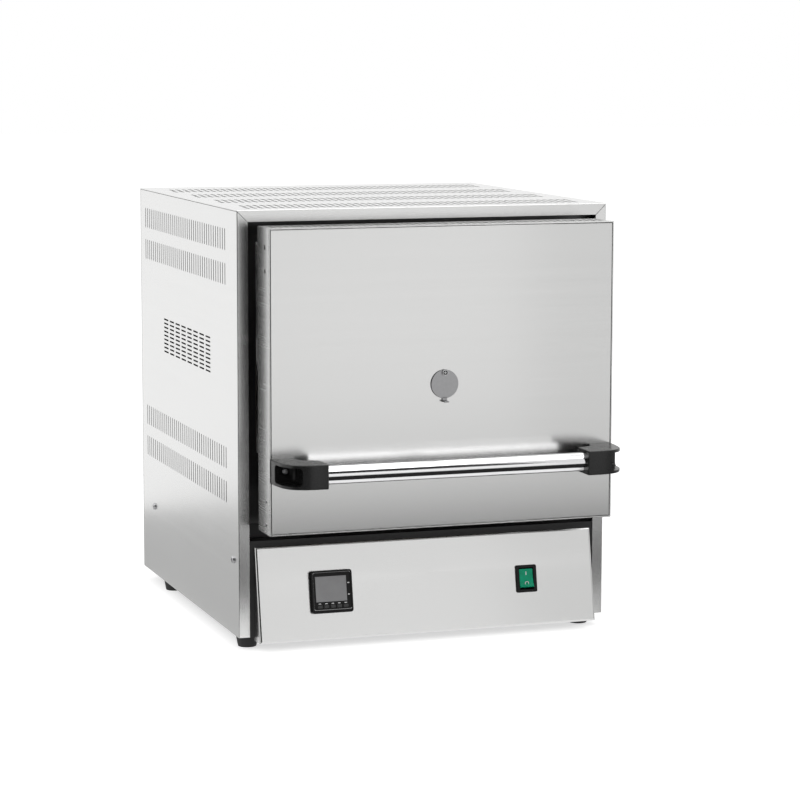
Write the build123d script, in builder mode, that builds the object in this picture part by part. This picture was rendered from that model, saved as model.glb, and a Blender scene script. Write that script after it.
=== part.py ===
"""Bench-top muffle furnace with a lift-up door on parallelogram arms.

Millimetres, +Z up, the front faces -Y, +X is the viewer's right.
The origin is on the floor, below the middle of the whole object.
"""
from build123d import *
import os
from math import atan2, cos, degrees, radians, sin

os.makedirs("parts", exist_ok=True)

# ---------------------------------------------------------------- driving dimensions
# heating chamber and its insulation
chamber_width = 200.0
chamber_height = 133.0
chamber_depth = 300.0
side_board_thickness = 80.0
roof_board_thickness = 82.0
floor_board_thickness = 82.0
rear_board_thickness = 73.0

# casing
sheet = 1.0
bend_radius = 1.5
flange_width = 13.0
plate_setback = 25.0
side_air_gap = 38.0
top_air_gap = 42.0
rear_air_gap = 49.0
deck_height = 109.0
deck_lip = 16.0
rail_height = 28.0
foot_height = 16.0
foot_bottom_radius = 10.5
foot_top_radius = 13.5
foot_side_inset = 18.0
front_foot_setback = 30.0
rear_foot_setback = 365.0

# punched vents
slot_width = 3.0
slot_length = 24.5
side_slot_pitch = 39.0
side_slot_start = 33.0
side_slot_margin = 20.0
upper_band_drop = 37.0
lower_band_rise = 157.5
band_spacing = 40.5
top_slot_pitch = 32.0
top_slot_margin = 20.0
top_row_spacing = 32.0
top_pair_pitch = 107.5
top_pair_start = 53.0
rear_slot_margin = 59.0
grille_slot = 46.0
grille_gap = 12.0
grille_pitch = 17.0
grille_columns = 4
grille_rows = 3
tray_slots = 6

# door
door_side_gap = 5.0
door_top_gap = 3.0
door_panel_gap = 23.0
door_standoff = 20.0
door_thickness = 45.0
door_sheet = 1.5
seam = 0.3
block_land = 30.0
plug_depth = 8.0
plug_clearance = 4.0
block_clearance = 8.0
seal_gap = 0.5

# lift mechanism
arm_length = 190.0
arm_width = 22.0
arm_thickness = 4.0
rest_angle = 69.0
open_angle = 30.0
pivot_spacing = 70.0
pivot_above_chamber = 52.0
pivot_radius = 4.0
pivot_plate_thickness = 3.0
pivot_plate_margin = 22.0
pin_head_radius = 7.0
nut_height = 6.5
nut_flats = 13.0
ear_thickness = 2.5
pin_head_height = 2.4
side_play = 0.3
running_play = 0.06
open_pivot_play = 0.3

# handle
tube_diameter = 21.0
tube_wall = 1.5
tube_reach = 39.0
tube_insertion = 12.0
bracket_reach = 56.0
bracket_height = 27.0
bracket_width = 49.0
bracket_root_width = 28.0
bracket_flange = 3.0
handle_rise = 72.0

# sight hole and its cover
sight_bore = 20.0
sight_tube_wall = 3.0
tube_play = 0.3
cover_diameter = 32.0
cover_thickness = 1.5
cover_pin_drop = 3.2

# control panel
panel_height = 106.4
panel_drop = 3.7
panel_top_reach = 4.1
panel_bottom_reach = 24.3
panel_bend = 2.5
controller_size = 48.0
controller_body = 44.6
controller_reach = 6.0
controller_length = 75.0
controller_x = -116.5
key_travel = 0.8
key_play = 0.25
switch_x = 119.0
switch_width = 25.5
switch_height = 31.5
switch_flange = 2.0
rocker_throw = 16.0

# supply and screws
gland_reach = 22.0
gland_bore = 8.0
gland_wall = 5.0
gland_inset = 84.0
gland_rise = 45.8
screw_head_radius = 4.2
screw_head_height = 2.4
side_screw_rise = 86.0
front_screw_setback = 20.0
rear_screw_setback = 389.0
rear_screw_inset = 30.0

# ---------------------------------------------------------------- derived places
shell_side = chamber_width / 2 + side_board_thickness + sheet
half_width = shell_side + side_air_gap + sheet
bottom = foot_height
deck_top = bottom + deck_height
shell_bottom = deck_top + rail_height
chamber_floor = shell_bottom + sheet + floor_board_thickness
chamber_roof = chamber_floor + chamber_height
shell_top = chamber_roof + roof_board_thickness + sheet
top = shell_top + top_air_gap + sheet
chamber_middle = (chamber_floor + chamber_roof) / 2

casing_depth = (
    plate_setback + sheet + chamber_depth + rear_board_thickness + sheet + rear_air_gap + sheet
)
handle_reach = door_standoff + door_thickness + bracket_reach
front = (handle_reach - casing_depth - gland_reach) / 2
back = front + casing_depth
plate_front = front + plate_setback
muffle_front = plate_front + sheet
chamber_back = muffle_front + chamber_depth
shell_back = chamber_back + rear_board_thickness + sheet

inner_half = half_width - sheet
opening_half = half_width - flange_width
door_half = opening_half - door_side_gap
door_back = front - door_standoff
door_front = door_back - door_thickness
door_top = top - flange_width - door_top_gap
panel_bottom = bottom - panel_drop
panel_top = panel_bottom + panel_height
door_bottom = panel_top + door_panel_gap

# lift mechanism: pivot centres in the Y-Z plane, and the stack along X
plate_outer = shell_side + pivot_plate_thickness
arm_inner = plate_outer + side_play
arm_outer = arm_inner + arm_thickness
stack_outer = arm_outer + side_play
door_pivot_y = door_back + arm_width / 2 + 1
cabinet_pivot_y = door_pivot_y + arm_length * cos(radians(rest_angle))
lift_pivot_z = chamber_roof + pivot_above_chamber
guide_pivot_z = lift_pivot_z - pivot_spacing
arm_drop = arm_length * sin(radians(rest_angle))
pivot_heights = (lift_pivot_z, guide_pivot_z)

block_half = chamber_width / 2 + block_land
block_bottom = chamber_floor - block_land
block_top = chamber_roof + block_land
sight_tube_radius = sight_bore / 2 + sight_tube_wall
sight_z = chamber_middle
cover_pin_z = sight_z + cover_diameter / 2 - cover_pin_drop
cover_back = door_front - side_play
cover_front = cover_back - cover_thickness
handle_z = door_bottom + handle_rise
tube_y = door_front - tube_reach

panel_slope = atan2(panel_bottom_reach - panel_top_reach, panel_height)
panel_face = Plane(
    origin=(
        0,
        front - (panel_top_reach + panel_bottom_reach) / 2,
        panel_bottom + panel_height / 2,
    ),
    x_dir=(1, 0, 0),
    z_dir=(0, -cos(panel_slope), sin(panel_slope)),
)
SIDES = ((-1, "left"), (1, "right"))


def block(x_span, y_span, z_span, mode=Mode.ADD):
    """A box in the current part, from its low and high limits along X, Y and Z."""
    middle = [(low + high) / 2 for low, high in (x_span, y_span, z_span)]
    lengths = [abs(high - low) for low, high in (x_span, y_span, z_span)]
    with Locations(tuple(middle)):
        Box(*lengths, mode=mode)


def rod(start, axis, radius, length, mode=Mode.ADD):
    """A cylinder in the current part that runs from a point along an axis."""
    with Locations(Plane(origin=start, z_dir=axis)):
        Cylinder(radius, length, align=(Align.CENTER, Align.CENTER, Align.MIN), mode=mode)


def head(start, axis, radius=screw_head_radius, height=screw_head_height):
    """The plain head of a small screw or rivet, seated on the face that it holds."""
    with BuildSketch(Plane(origin=start, z_dir=axis), mode=Mode.PRIVATE) as outline:
        RegularPolygon(radius, 12)
    extrude(outline.sketch, amount=height)


# ================================================================ base and casing
tray_top = deck_top - sheet
foot_points = [
    (side * (half_width - foot_side_inset), front + setback)
    for side, _ in SIDES
    for setback in (front_foot_setback, rear_foot_setback)
]
gland_x = -half_width + gland_inset
gland_z = bottom + gland_rise
gland_radius = gland_bore / 2 + gland_wall
side_screw_points = [
    (front + setback, bottom + side_screw_rise)
    for setback in (front_screw_setback, rear_screw_setback)
]
rear_screw_points = [
    (x, z)
    for x in (-half_width + flange_width / 2, half_width - flange_width / 2)
    for z in (bottom + rear_screw_inset, top - rear_screw_inset)
]

# deep tray that carries the feet and holds the electrics
with BuildPart() as base_tray:
    block((-inner_half, inner_half), (front + sheet, back - 2 * sheet), (bottom, tray_top))
    fillet(base_tray.edges().filter_by(Axis.Z), radius=bend_radius)
    offset(
        amount=-sheet,
        openings=base_tray.faces().sort_by(Axis.Z)[-1],
        kind=Kind.INTERSECTION,
    )
    with BuildSketch(panel_face):
        with Locations((controller_x, 0)):
            Rectangle(controller_body + 2, controller_body + 2)
        with Locations((switch_x, 0)):
            Rectangle(switch_width - 1, switch_height - 1)
    extrude(amount=-panel_bottom_reach - 12, mode=Mode.SUBTRACT)
    rod((gland_x, back, gland_z), (0, -1, 0), gland_radius - 2, 5 * sheet, Mode.SUBTRACT)
    with BuildSketch(Plane.XY.offset(bottom)):
        with Locations((0, (front + back) / 2)):
            with GridLocations(side_slot_pitch, 1, tray_slots, 1):
                Rectangle(slot_width, slot_length)
    extrude(amount=sheet, mode=Mode.SUBTRACT)
base_tray.part.label = "base_tray"
export_step(base_tray.part, "parts/base_tray.step")

# tapered rubber feet under the tray
with BuildPart() as rubber_feet:
    with Locations(*[(x, y, foot_height / 2) for x, y in foot_points]):
        Cone(foot_bottom_radius, foot_top_radius, foot_height)
rubber_feet.part.label = "rubber_feet"
export_step(rubber_feet.part, "parts/rubber_feet.step")

# black deck between the electrics and the furnace, with a raised front lip
with BuildPart() as deck_plate:
    block(
        (-inner_half, inner_half),
        (front + sheet, back - 2 * sheet),
        (deck_top - sheet, deck_top),
    )
    fillet(deck_plate.edges().filter_by(Axis.Z), radius=bend_radius)
    block(
        (-opening_half, opening_half),
        (plate_front - sheet, plate_front),
        (deck_top, deck_top + deck_lip),
    )
deck_plate.part.label = "deck_plate"
export_step(deck_plate.part, "parts/deck_plate.step")

# side panels: folded in at the front, the back and the top, mitred at the top corner
side_slot_count = 1 + int(
    (casing_depth - side_slot_start - side_slot_margin) // side_slot_pitch
)
side_bands = (
    top - upper_band_drop,
    top - upper_band_drop - band_spacing,
    bottom + lower_band_rise + band_spacing,
    bottom + lower_band_rise,
)
side_slot_middle = front + side_slot_start + side_slot_pitch * (side_slot_count - 1) / 2

with BuildPart() as right_side_panel:
    with BuildSketch(Plane.XY.offset(bottom)):
        with BuildLine():
            outer_line = FilletPolyline(
                (opening_half, front),
                (half_width, front),
                (half_width, back - sheet),
                (opening_half, back - sheet),
                radius=bend_radius,
            )
            offset(outer_line, amount=sheet, side=Side.LEFT)
        make_face()
    extrude(amount=top - sheet - bottom)
    block(
        (opening_half, half_width - sheet),
        (front + sheet, back - 2 * sheet),
        (top - 2 * sheet, top - sheet),
    )
    with BuildSketch(Plane.XZ.offset(-front - 2 * sheet)):
        with BuildLine():
            Polyline(
                (opening_half - 1, top),
                (opening_half - 1, top - flange_width - 1 - seam),
                (half_width + seam, top),
                close=True,
            )
        make_face()
    extrude(amount=2 * sheet, mode=Mode.SUBTRACT)
    with BuildSketch(Plane.YZ.offset(half_width - 2 * sheet)):
        with Locations(*[(side_slot_middle, z) for z in side_bands]):
            with GridLocations(side_slot_pitch, 1, side_slot_count, 1):
                Rectangle(slot_width, slot_length)
        with Locations(((front + back) / 2, (side_bands[1] + side_bands[2]) / 2)):
            with GridLocations(grille_slot + grille_gap, grille_pitch, grille_columns, grille_rows):
                Rectangle(grille_slot, slot_width)
    extrude(amount=3 * sheet, mode=Mode.SUBTRACT)
right_side_panel.part.label = "right_side_panel"
export_step(right_side_panel.part, "parts/right_side_panel.step")

with BuildPart() as left_side_panel:
    mirror(right_side_panel.part, about=Plane.YZ)
left_side_panel.part.label = "left_side_panel"
export_step(left_side_panel.part, "parts/left_side_panel.step")

# top panel: one sheet with a mitred front flange and staggered rows of vents
top_slot_count = 1 + int((2 * (half_width - top_slot_margin)) // top_slot_pitch)
top_pairs = 1 + int((casing_depth - top_pair_start - top_row_spacing) // top_pair_pitch)
with BuildPart() as top_panel:
    block((-half_width, half_width), (front, back), (top - sheet, top))
    with BuildSketch(Plane.XZ.offset(-front - sheet)):
        with BuildLine():
            Polyline(
                (-half_width, top),
                (-opening_half, top - flange_width),
                (opening_half, top - flange_width),
                (half_width, top),
                close=True,
            )
        make_face()
    extrude(amount=sheet)
    fillet(
        top_panel.edges().filter_by(Axis.X).group_by(Axis.Y)[0].sort_by(Axis.Z)[-1],
        radius=sheet * 0.9,
    )
    with BuildSketch(Plane.XY.offset(top - sheet)):
        for pair in range(top_pairs):
            for row in (-1, 1):
                row_y = front + top_pair_start + pair * top_pair_pitch + row * top_row_spacing / 2
                with Locations((row * top_slot_pitch / 4, row_y)):
                    with GridLocations(top_slot_pitch, 1, top_slot_count - 1, 1):
                        Rectangle(slot_width, slot_length)
    extrude(amount=sheet, mode=Mode.SUBTRACT)
top_panel.part.label = "top_panel"
export_step(top_panel.part, "parts/top_panel.step")

# rear panel with a band of vents and the cord gland's hole
rear_slot_count = 1 + int((2 * (half_width - rear_slot_margin)) // side_slot_pitch)
with BuildPart() as rear_panel:
    block((-half_width, half_width), (back - sheet, back), (bottom, top - sheet))
    with BuildSketch(Plane.XZ.offset(-back)):
        with Locations((0, top - upper_band_drop - slot_length / 2)):
            with GridLocations(side_slot_pitch, 1, rear_slot_count, 1):
                Rectangle(slot_width, slot_length)
        with Locations((gland_x, gland_z)):
            Circle(gland_radius - 2)
    extrude(amount=sheet, mode=Mode.SUBTRACT)
rear_panel.part.label = "rear_panel"
export_step(rear_panel.part, "parts/rear_panel.step")

# heads of the screws that hold the side panels and the rear panel
with BuildPart() as casing_screws:
    for side, _ in SIDES:
        for y, z in side_screw_points:
            head((side * half_width, y, z), (side, 0, 0))
    for x, z in rear_screw_points:
        head((x, back, z), (0, 1, 0))
casing_screws.part.label = "casing_screws"
export_step(casing_screws.part, "parts/casing_screws.step")

# recessed front plate: mouth of the furnace and two tall slots for the arms
arm_slot_inner = shell_side + 0.5
arm_slot_outer = stack_outer + 2.5
plate_reach = cabinet_pivot_y - plate_front
slot_top = (
    lift_pivot_z
    + plate_reach * sin(radians(open_angle)) / cos(radians(open_angle))
    + arm_width / 2 / cos(radians(open_angle))
    + 4
)
slot_bottom = (
    guide_pivot_z
    - plate_reach * sin(radians(rest_angle)) / cos(radians(rest_angle))
    - arm_width / 2 / cos(radians(rest_angle))
    - 8
)
plate_flange = 12.0
with BuildPart() as front_plate:
    with BuildSketch(Plane.XY.offset(deck_top)):
        with BuildLine():
            outer_line = FilletPolyline(
                (-inner_half, plate_front + plate_flange),
                (-inner_half, plate_front),
                (inner_half, plate_front),
                (inner_half, plate_front + plate_flange),
                radius=bend_radius,
            )
            offset(outer_line, amount=sheet, side=Side.LEFT)
        make_face()
    extrude(amount=top - 2 * sheet - deck_top)
    with BuildSketch(Plane.XZ.offset(-plate_front - 2 * sheet)):
        with Locations((0, chamber_middle)):
            Rectangle(
                2 * (block_half + block_clearance),
                chamber_height + 2 * (block_land + block_clearance),
            )
        for side, _ in SIDES:
            with Locations(
                (side * (arm_slot_inner + arm_slot_outer) / 2, (slot_top + slot_bottom) / 2)
            ):
                Rectangle(arm_slot_outer - arm_slot_inner, slot_top - slot_bottom)
    extrude(amount=3 * sheet, mode=Mode.SUBTRACT)
front_plate.part.label = "front_plate"
export_step(front_plate.part, "parts/front_plate.step")

# ================================================================ furnace body
run_pitch = chamber_height / 4.6
runs = 4
coil_radius = 5.0
groove_width = 13.0
groove_depth = 2 * coil_radius + 2.3
coil_depth = groove_depth - coil_radius - 0.3
run_front = muffle_front + 32
run_back = chamber_back - 16
run_heights = [chamber_middle + run_pitch * (i - (runs - 1) / 2) for i in range(runs)]
lead_heights = (run_heights[0], run_heights[-1])
coil_x = chamber_width / 2 + coil_depth
thermocouple_z = chamber_roof - 22
thermocouple_reach = 20.0
thermocouple_radius = 3.0

# sheet-steel shell round the insulation, open at the front
with BuildPart() as inner_shell:
    block((-shell_side, shell_side), (muffle_front, shell_back), (shell_bottom, shell_top))
    block(
        (-shell_side + sheet, shell_side - sheet),
        (muffle_front - 1, shell_back - sheet),
        (shell_bottom + sheet, shell_top - sheet),
        Mode.SUBTRACT,
    )
    with BuildSketch(Plane.XZ.offset(-shell_back - 1)):
        with Locations((0, thermocouple_z)):
            Circle(thermocouple_radius + 0.3)
    extrude(amount=3 * sheet, mode=Mode.SUBTRACT)
inner_shell.part.label = "inner_shell"
export_step(inner_shell.part, "parts/inner_shell.step")

# channel rails that hold the shell clear of the deck
rail_width = 24.0
rail_sheet = 1.5
with BuildPart() as shell_rails:
    for side, _ in SIDES:
        x = side * shell_side * 0.66
        with BuildSketch(Plane.XZ.offset(-muffle_front - 20)):
            with BuildLine():
                web = Polyline(
                    (x + rail_width / 2, deck_top),
                    (x - rail_width / 2, deck_top),
                    (x - rail_width / 2, shell_bottom),
                    (x + rail_width / 2, shell_bottom),
                )
                offset(web, amount=rail_sheet, side=Side.RIGHT)
            make_face()
        extrude(amount=-(shell_back - muffle_front - 40))
shell_rails.part.label = "shell_rails"
export_step(shell_rails.part, "parts/shell_rails.step")

# fibre boards: floor, roof, rear, and the two sides with grooves for the coils
board_half = shell_side - sheet
with BuildPart() as floor_board:
    block(
        (-board_half, board_half),
        (muffle_front, chamber_back),
        (shell_bottom + sheet, chamber_floor),
    )
floor_board.part.label = "floor_board"
export_step(floor_board.part, "parts/floor_board.step")

with BuildPart() as roof_board:
    block(
        (-board_half, board_half), (muffle_front, chamber_back), (chamber_roof, shell_top - sheet)
    )
roof_board.part.label = "roof_board"
export_step(roof_board.part, "parts/roof_board.step")

with BuildPart() as rear_board:
    block(
        (-board_half, board_half),
        (chamber_back, shell_back - sheet),
        (shell_bottom + sheet, shell_top - sheet),
    )
    with BuildSketch(Plane.XZ.offset(-shell_back)):
        with Locations((0, thermocouple_z)):
            Circle(thermocouple_radius + 0.3)
    extrude(amount=rear_board_thickness + 2 * sheet, mode=Mode.SUBTRACT)
rear_board.part.label = "rear_board"
export_step(rear_board.part, "parts/rear_board.step")

run_length = run_back - run_front
for side, hand in SIDES:
    with BuildPart() as heater_board:
        inner_face = side * chamber_width / 2
        block(
            (inner_face, side * board_half),
            (muffle_front, chamber_back),
            (chamber_floor, chamber_roof),
        )
        with BuildSketch(Plane.YZ.offset(inner_face)):
            for z in run_heights:
                with Locations(((run_front + run_back) / 2, z)):
                    Rectangle(run_length + groove_width, groove_width)
            for i, y in enumerate((run_front + 2, run_back - 2, run_front + 2)):
                with Locations((y, (run_heights[i] + run_heights[i + 1]) / 2)):
                    Rectangle(groove_width + 4, run_pitch)
        extrude(amount=side * groove_depth, mode=Mode.SUBTRACT)
    heater_board.part.label = f"{hand}_heater_board"
    export_step(heater_board.part, f"parts/{hand}_heater_board.step")

    # the coil's outer envelope: straight runs in the grooves, joined end to end
    with BuildPart() as heating_coil:
        x = side * coil_x
        with BuildSketch(Plane.XZ.offset(-run_front)):
            with Locations(*[(x, z) for z in run_heights]):
                RegularPolygon(coil_radius, 8)
        extrude(amount=-run_length)
        for i, y in enumerate((run_front, run_back, run_front)):
            inward = coil_radius if y == run_front else -coil_radius
            with BuildSketch(Plane.XY.offset(run_heights[i])):
                with Locations((x, y + inward)):
                    RegularPolygon(coil_radius * 0.9, 8)
            extrude(amount=run_pitch)
    heating_coil.part.label = f"{hand}_heating_coil"
    export_step(heating_coil.part, f"parts/{hand}_heating_coil.step")

# loose ceramic plate on the chamber floor
hearth_height = 7.0
with BuildPart() as hearth_plate:
    with BuildSketch(Plane.XY.offset(chamber_floor)):
        with Locations((0, (muffle_front + chamber_back) / 2 + plug_depth / 2)):
            Rectangle(chamber_width - 24, chamber_depth - 30)
    extrude(amount=hearth_height)
hearth_plate.part.label = "hearth_plate"
export_step(hearth_plate.part, "parts/hearth_plate.step")

# thermocouple: sheath through the rear board, with its head behind the shell
with BuildPart() as thermocouple:
    rod(
        (0, chamber_back - thermocouple_reach, thermocouple_z),
        (0, 1, 0),
        thermocouple_radius,
        shell_back - chamber_back + thermocouple_reach,
    )
    rod((0, shell_back, thermocouple_z), (0, 1, 0), 11, 16)
thermocouple.part.label = "thermocouple"
export_step(thermocouple.part, "parts/thermocouple.step")

# ceramic terminal strips on the shell, behind the ends of each coil
with BuildPart() as element_terminals:
    for side, _ in SIDES:
        block(
            (side * coil_x - 9, side * coil_x + 9),
            (shell_back, shell_back + 14),
            (lead_heights[0] - 12, lead_heights[1] + 12),
        )
element_terminals.part.label = "element_terminals"
export_step(element_terminals.part, "parts/element_terminals.step")

# ================================================================ lift mechanism
with BuildPart() as pivot_plates:
    for side, _ in SIDES:
        with BuildSketch(Plane.YZ.offset(side * shell_side)):
            with Locations((cabinet_pivot_y, (lift_pivot_z + guide_pivot_z) / 2)):
                Rectangle(2 * pivot_plate_margin, pivot_spacing + 2 * pivot_plate_margin)
        extrude(amount=side * pivot_plate_thickness)
pivot_plates.part.label = "pivot_plates"
export_step(pivot_plates.part, "parts/pivot_plates.step")

# studs welded to the plates, ending inside the cap nuts
with BuildPart() as pivot_studs:
    for side, _ in SIDES:
        for z in pivot_heights:
            rod(
                (side * plate_outer, cabinet_pivot_y, z),
                (side, 0, 0),
                pivot_radius,
                stack_outer - plate_outer,
            )
pivot_studs.part.label = "pivot_studs"
export_step(pivot_studs.part, "parts/pivot_studs.step")

with BuildPart() as pivot_cap_nuts:
    for side, _ in SIDES:
        for z in pivot_heights:
            with BuildSketch(Plane.YZ.offset(side * stack_outer)):
                with Locations((cabinet_pivot_y, z)):
                    RegularPolygon(nut_flats / 2, 6, major_radius=False)
            extrude(amount=side * nut_height)
pivot_cap_nuts.part.label = "pivot_cap_nuts"
export_step(pivot_cap_nuts.part, "parts/pivot_cap_nuts.step")

# four equal arms: the lift arms above and the guide arms below
for arm_name, pivot_z, door_end_play in (
    ("lift", lift_pivot_z, running_play),
    ("guide", guide_pivot_z, open_pivot_play),
):
    for side, hand in SIDES:
        door_pivot_z = pivot_z - arm_drop
        with BuildPart() as arm:
            with BuildSketch(Plane.YZ.offset(side * arm_inner)):
                with Locations(
                    ((cabinet_pivot_y + door_pivot_y) / 2, (pivot_z + door_pivot_z) / 2)
                ):
                    SlotCenterToCenter(arm_length, arm_width, rotation=rest_angle)
                with Locations((cabinet_pivot_y, pivot_z)):
                    Circle(pivot_radius + running_play, mode=Mode.SUBTRACT)
                with Locations((door_pivot_y, door_pivot_z)):
                    Circle(pivot_radius + door_end_play, mode=Mode.SUBTRACT)
            extrude(amount=side * arm_thickness)
        arm.part.label = f"{hand}_{arm_name}_arm"
        export_step(arm.part, f"parts/{hand}_{arm_name}_arm.step")

# ================================================================ door
vent_middle = (door_front + door_back) / 2
door_slot_count = int((2 * (door_half - top_slot_margin / 2)) // top_slot_pitch)
side_rivet_y = door_front + door_thickness / 3
side_slot_drops = (21.3, 47.8)
side_rivet_rises = (10.5, 36.4)

# frame: the four folded walls of the door
with BuildPart() as door_frame:
    block((-door_half, door_half), (door_front, door_back), (door_bottom, door_top))
    fillet(
        door_frame.edges().filter_by(Axis.Z),
        radius=door_sheet * 0.8,
    )
    block(
        (-door_half + door_sheet, door_half - door_sheet),
        (door_front - 1, door_back + 1),
        (door_bottom + door_sheet, door_top - door_sheet),
        Mode.SUBTRACT,
    )
    with BuildSketch(Plane.XY.offset(door_top - 2 * door_sheet)):
        with Locations((0, vent_middle)):
            with GridLocations(top_slot_pitch, 1, door_slot_count, 1):
                Rectangle(slot_width, slot_length * 0.8)
    extrude(amount=3 * door_sheet, mode=Mode.SUBTRACT)
    with BuildSketch(Plane.YZ.offset(-door_half - 1)):
        with Locations(*[(side_rivet_y, door_top - drop) for drop in side_slot_drops]):
            Rectangle(slot_width * 0.6, 5.5)
    extrude(amount=2 * door_half + 2, mode=Mode.SUBTRACT)
door_frame.part.label = "door_frame"
export_step(door_frame.part, "parts/door_frame.step")

# front sheet: a shallow pan set into the frame with a thin seam all round
pan_half = door_half - door_sheet - seam
pan_bottom = door_bottom + door_sheet + seam
pan_top = door_top - door_sheet - seam
pan_depth = 10.0
handle_screw_x = door_half - bracket_width / 4
with BuildPart() as door_front_sheet:
    block((-pan_half, pan_half), (door_front, door_front + pan_depth), (pan_bottom, pan_top))
    offset(
        amount=-door_sheet,
        openings=door_front_sheet.faces().sort_by(Axis.Y)[-1],
        kind=Kind.INTERSECTION,
    )
    with BuildSketch(Plane.XZ.offset(-door_front - 2 * door_sheet)):
        with Locations((0, sight_z)):
            Circle(sight_bore / 2)
    extrude(amount=3 * door_sheet, mode=Mode.SUBTRACT)
door_front_sheet.part.label = "door_front_sheet"
export_step(door_front_sheet.part, "parts/door_front_sheet.step")

# liner: back sheet of the door that carries the fibre block and the ears
with BuildPart() as door_liner:
    block((-pan_half, pan_half), (door_back - door_sheet, door_back), (pan_bottom, pan_top))
    with BuildSketch(Plane.XZ.offset(-door_back)):
        with Locations((0, sight_z)):
            Circle(sight_tube_radius + tube_play)
    extrude(amount=door_sheet, mode=Mode.SUBTRACT)
door_liner.part.label = "door_liner"
export_step(door_liner.part, "parts/door_liner.step")

# wool blanket between the liner and the front sheet
with BuildPart() as door_blanket:
    block(
        (-pan_half + 2, pan_half - 2),
        (door_front + pan_depth + 2, door_back - door_sheet),
        (pan_bottom + 2, pan_top - 2),
    )
    rod(
        (0, door_front, sight_z), (0, 1, 0), sight_tube_radius + tube_play, door_thickness, Mode.SUBTRACT
    )
door_blanket.part.label = "door_blanket"
export_step(door_blanket.part, "parts/door_blanket.step")

# fibre block: its wide land closes on the front of the muffle
block_face = muffle_front - seal_gap
with BuildPart() as door_fibre_block:
    block((-block_half, block_half), (door_back, block_face), (block_bottom, block_top))
    rod(
        (0, door_back, sight_z),
        (0, 1, 0),
        sight_tube_radius + tube_play,
        block_face - door_back,
        Mode.SUBTRACT,
    )
door_fibre_block.part.label = "door_fibre_block"
export_step(door_fibre_block.part, "parts/door_fibre_block.step")

# bevelled plug on the block, which enters the mouth of the muffle
with BuildPart() as door_plug:
    with BuildSketch(Plane.XZ.offset(-block_face)):
        with Locations((0, chamber_middle)):
            Rectangle(chamber_width - 2 * plug_clearance, chamber_height - 2 * plug_clearance)
    extrude(amount=-plug_depth, taper=25)
    rod(
        (0, block_face, sight_z), (0, 1, 0), sight_tube_radius + tube_play, plug_depth, Mode.SUBTRACT
    )
door_plug.part.label = "door_plug"
export_step(door_plug.part, "parts/door_plug.step")

# ceramic sight tube from the front sheet to the plug's hot face
with BuildPart() as sight_tube:
    with BuildSketch(Plane.XZ.offset(-door_front - door_sheet)):
        with Locations((0, sight_z)):
            Circle(sight_tube_radius)
            Circle(sight_bore / 2, mode=Mode.SUBTRACT)
    extrude(amount=-(block_face + plug_depth - door_front - door_sheet))
sight_tube.part.label = "sight_tube"
export_step(sight_tube.part, "parts/sight_tube.step")

# ears: angle brackets on the liner that hold the arms' pins
ear_margin = 9.0
ear_top = lift_pivot_z - arm_drop + arm_width / 2 + ear_margin
ear_bottom = guide_pivot_z - arm_drop - arm_width / 2 - ear_margin
ear_foot = 20.0
ear_outer = shell_side + ear_thickness
with BuildPart() as door_ears:
    for side, _ in SIDES:
        with BuildSketch(Plane.YZ.offset(side * (ear_outer - ear_thickness))):
            with Locations((door_back, (ear_top + ear_bottom) / 2)):
                Rectangle(
                    door_pivot_y - door_back + arm_width / 2 - 1,
                    ear_top - ear_bottom,
                    align=(Align.MIN, Align.CENTER),
                )
        extrude(amount=side * ear_thickness)
        block(
            (side * (ear_outer - ear_foot), side * (ear_outer - ear_thickness)),
            (door_back, door_back + ear_thickness),
            (ear_bottom, ear_top),
        )
    outer_corners = door_ears.edges().filter_by(Axis.X).group_by(Axis.Y)[-1]
    fillet(outer_corners, radius=8)
door_ears.part.label = "door_ears"
export_step(door_ears.part, "parts/door_ears.step")

# pins welded to the ears: shank through the arm, head outside it
with BuildPart() as door_pivot_pins:
    for side, _ in SIDES:
        for z in pivot_heights:
            centre = (door_pivot_y, z - arm_drop)
            rod((side * ear_outer, *centre), (side, 0, 0), pivot_radius, stack_outer - ear_outer)
            head((side * stack_outer, *centre), (side, 0, 0), pin_head_radius, pin_head_height)
door_pivot_pins.part.label = "door_pivot_pins"
export_step(door_pivot_pins.part, "parts/door_pivot_pins.step")

with BuildPart() as door_rivets:
    for side, _ in SIDES:
        for rise in side_rivet_rises:
            head((side * door_half, side_rivet_y, door_bottom + rise), (side, 0, 0), 2.4, 0.8)
door_rivets.part.label = "door_rivets"
export_step(door_rivets.part, "parts/door_rivets.step")

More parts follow.
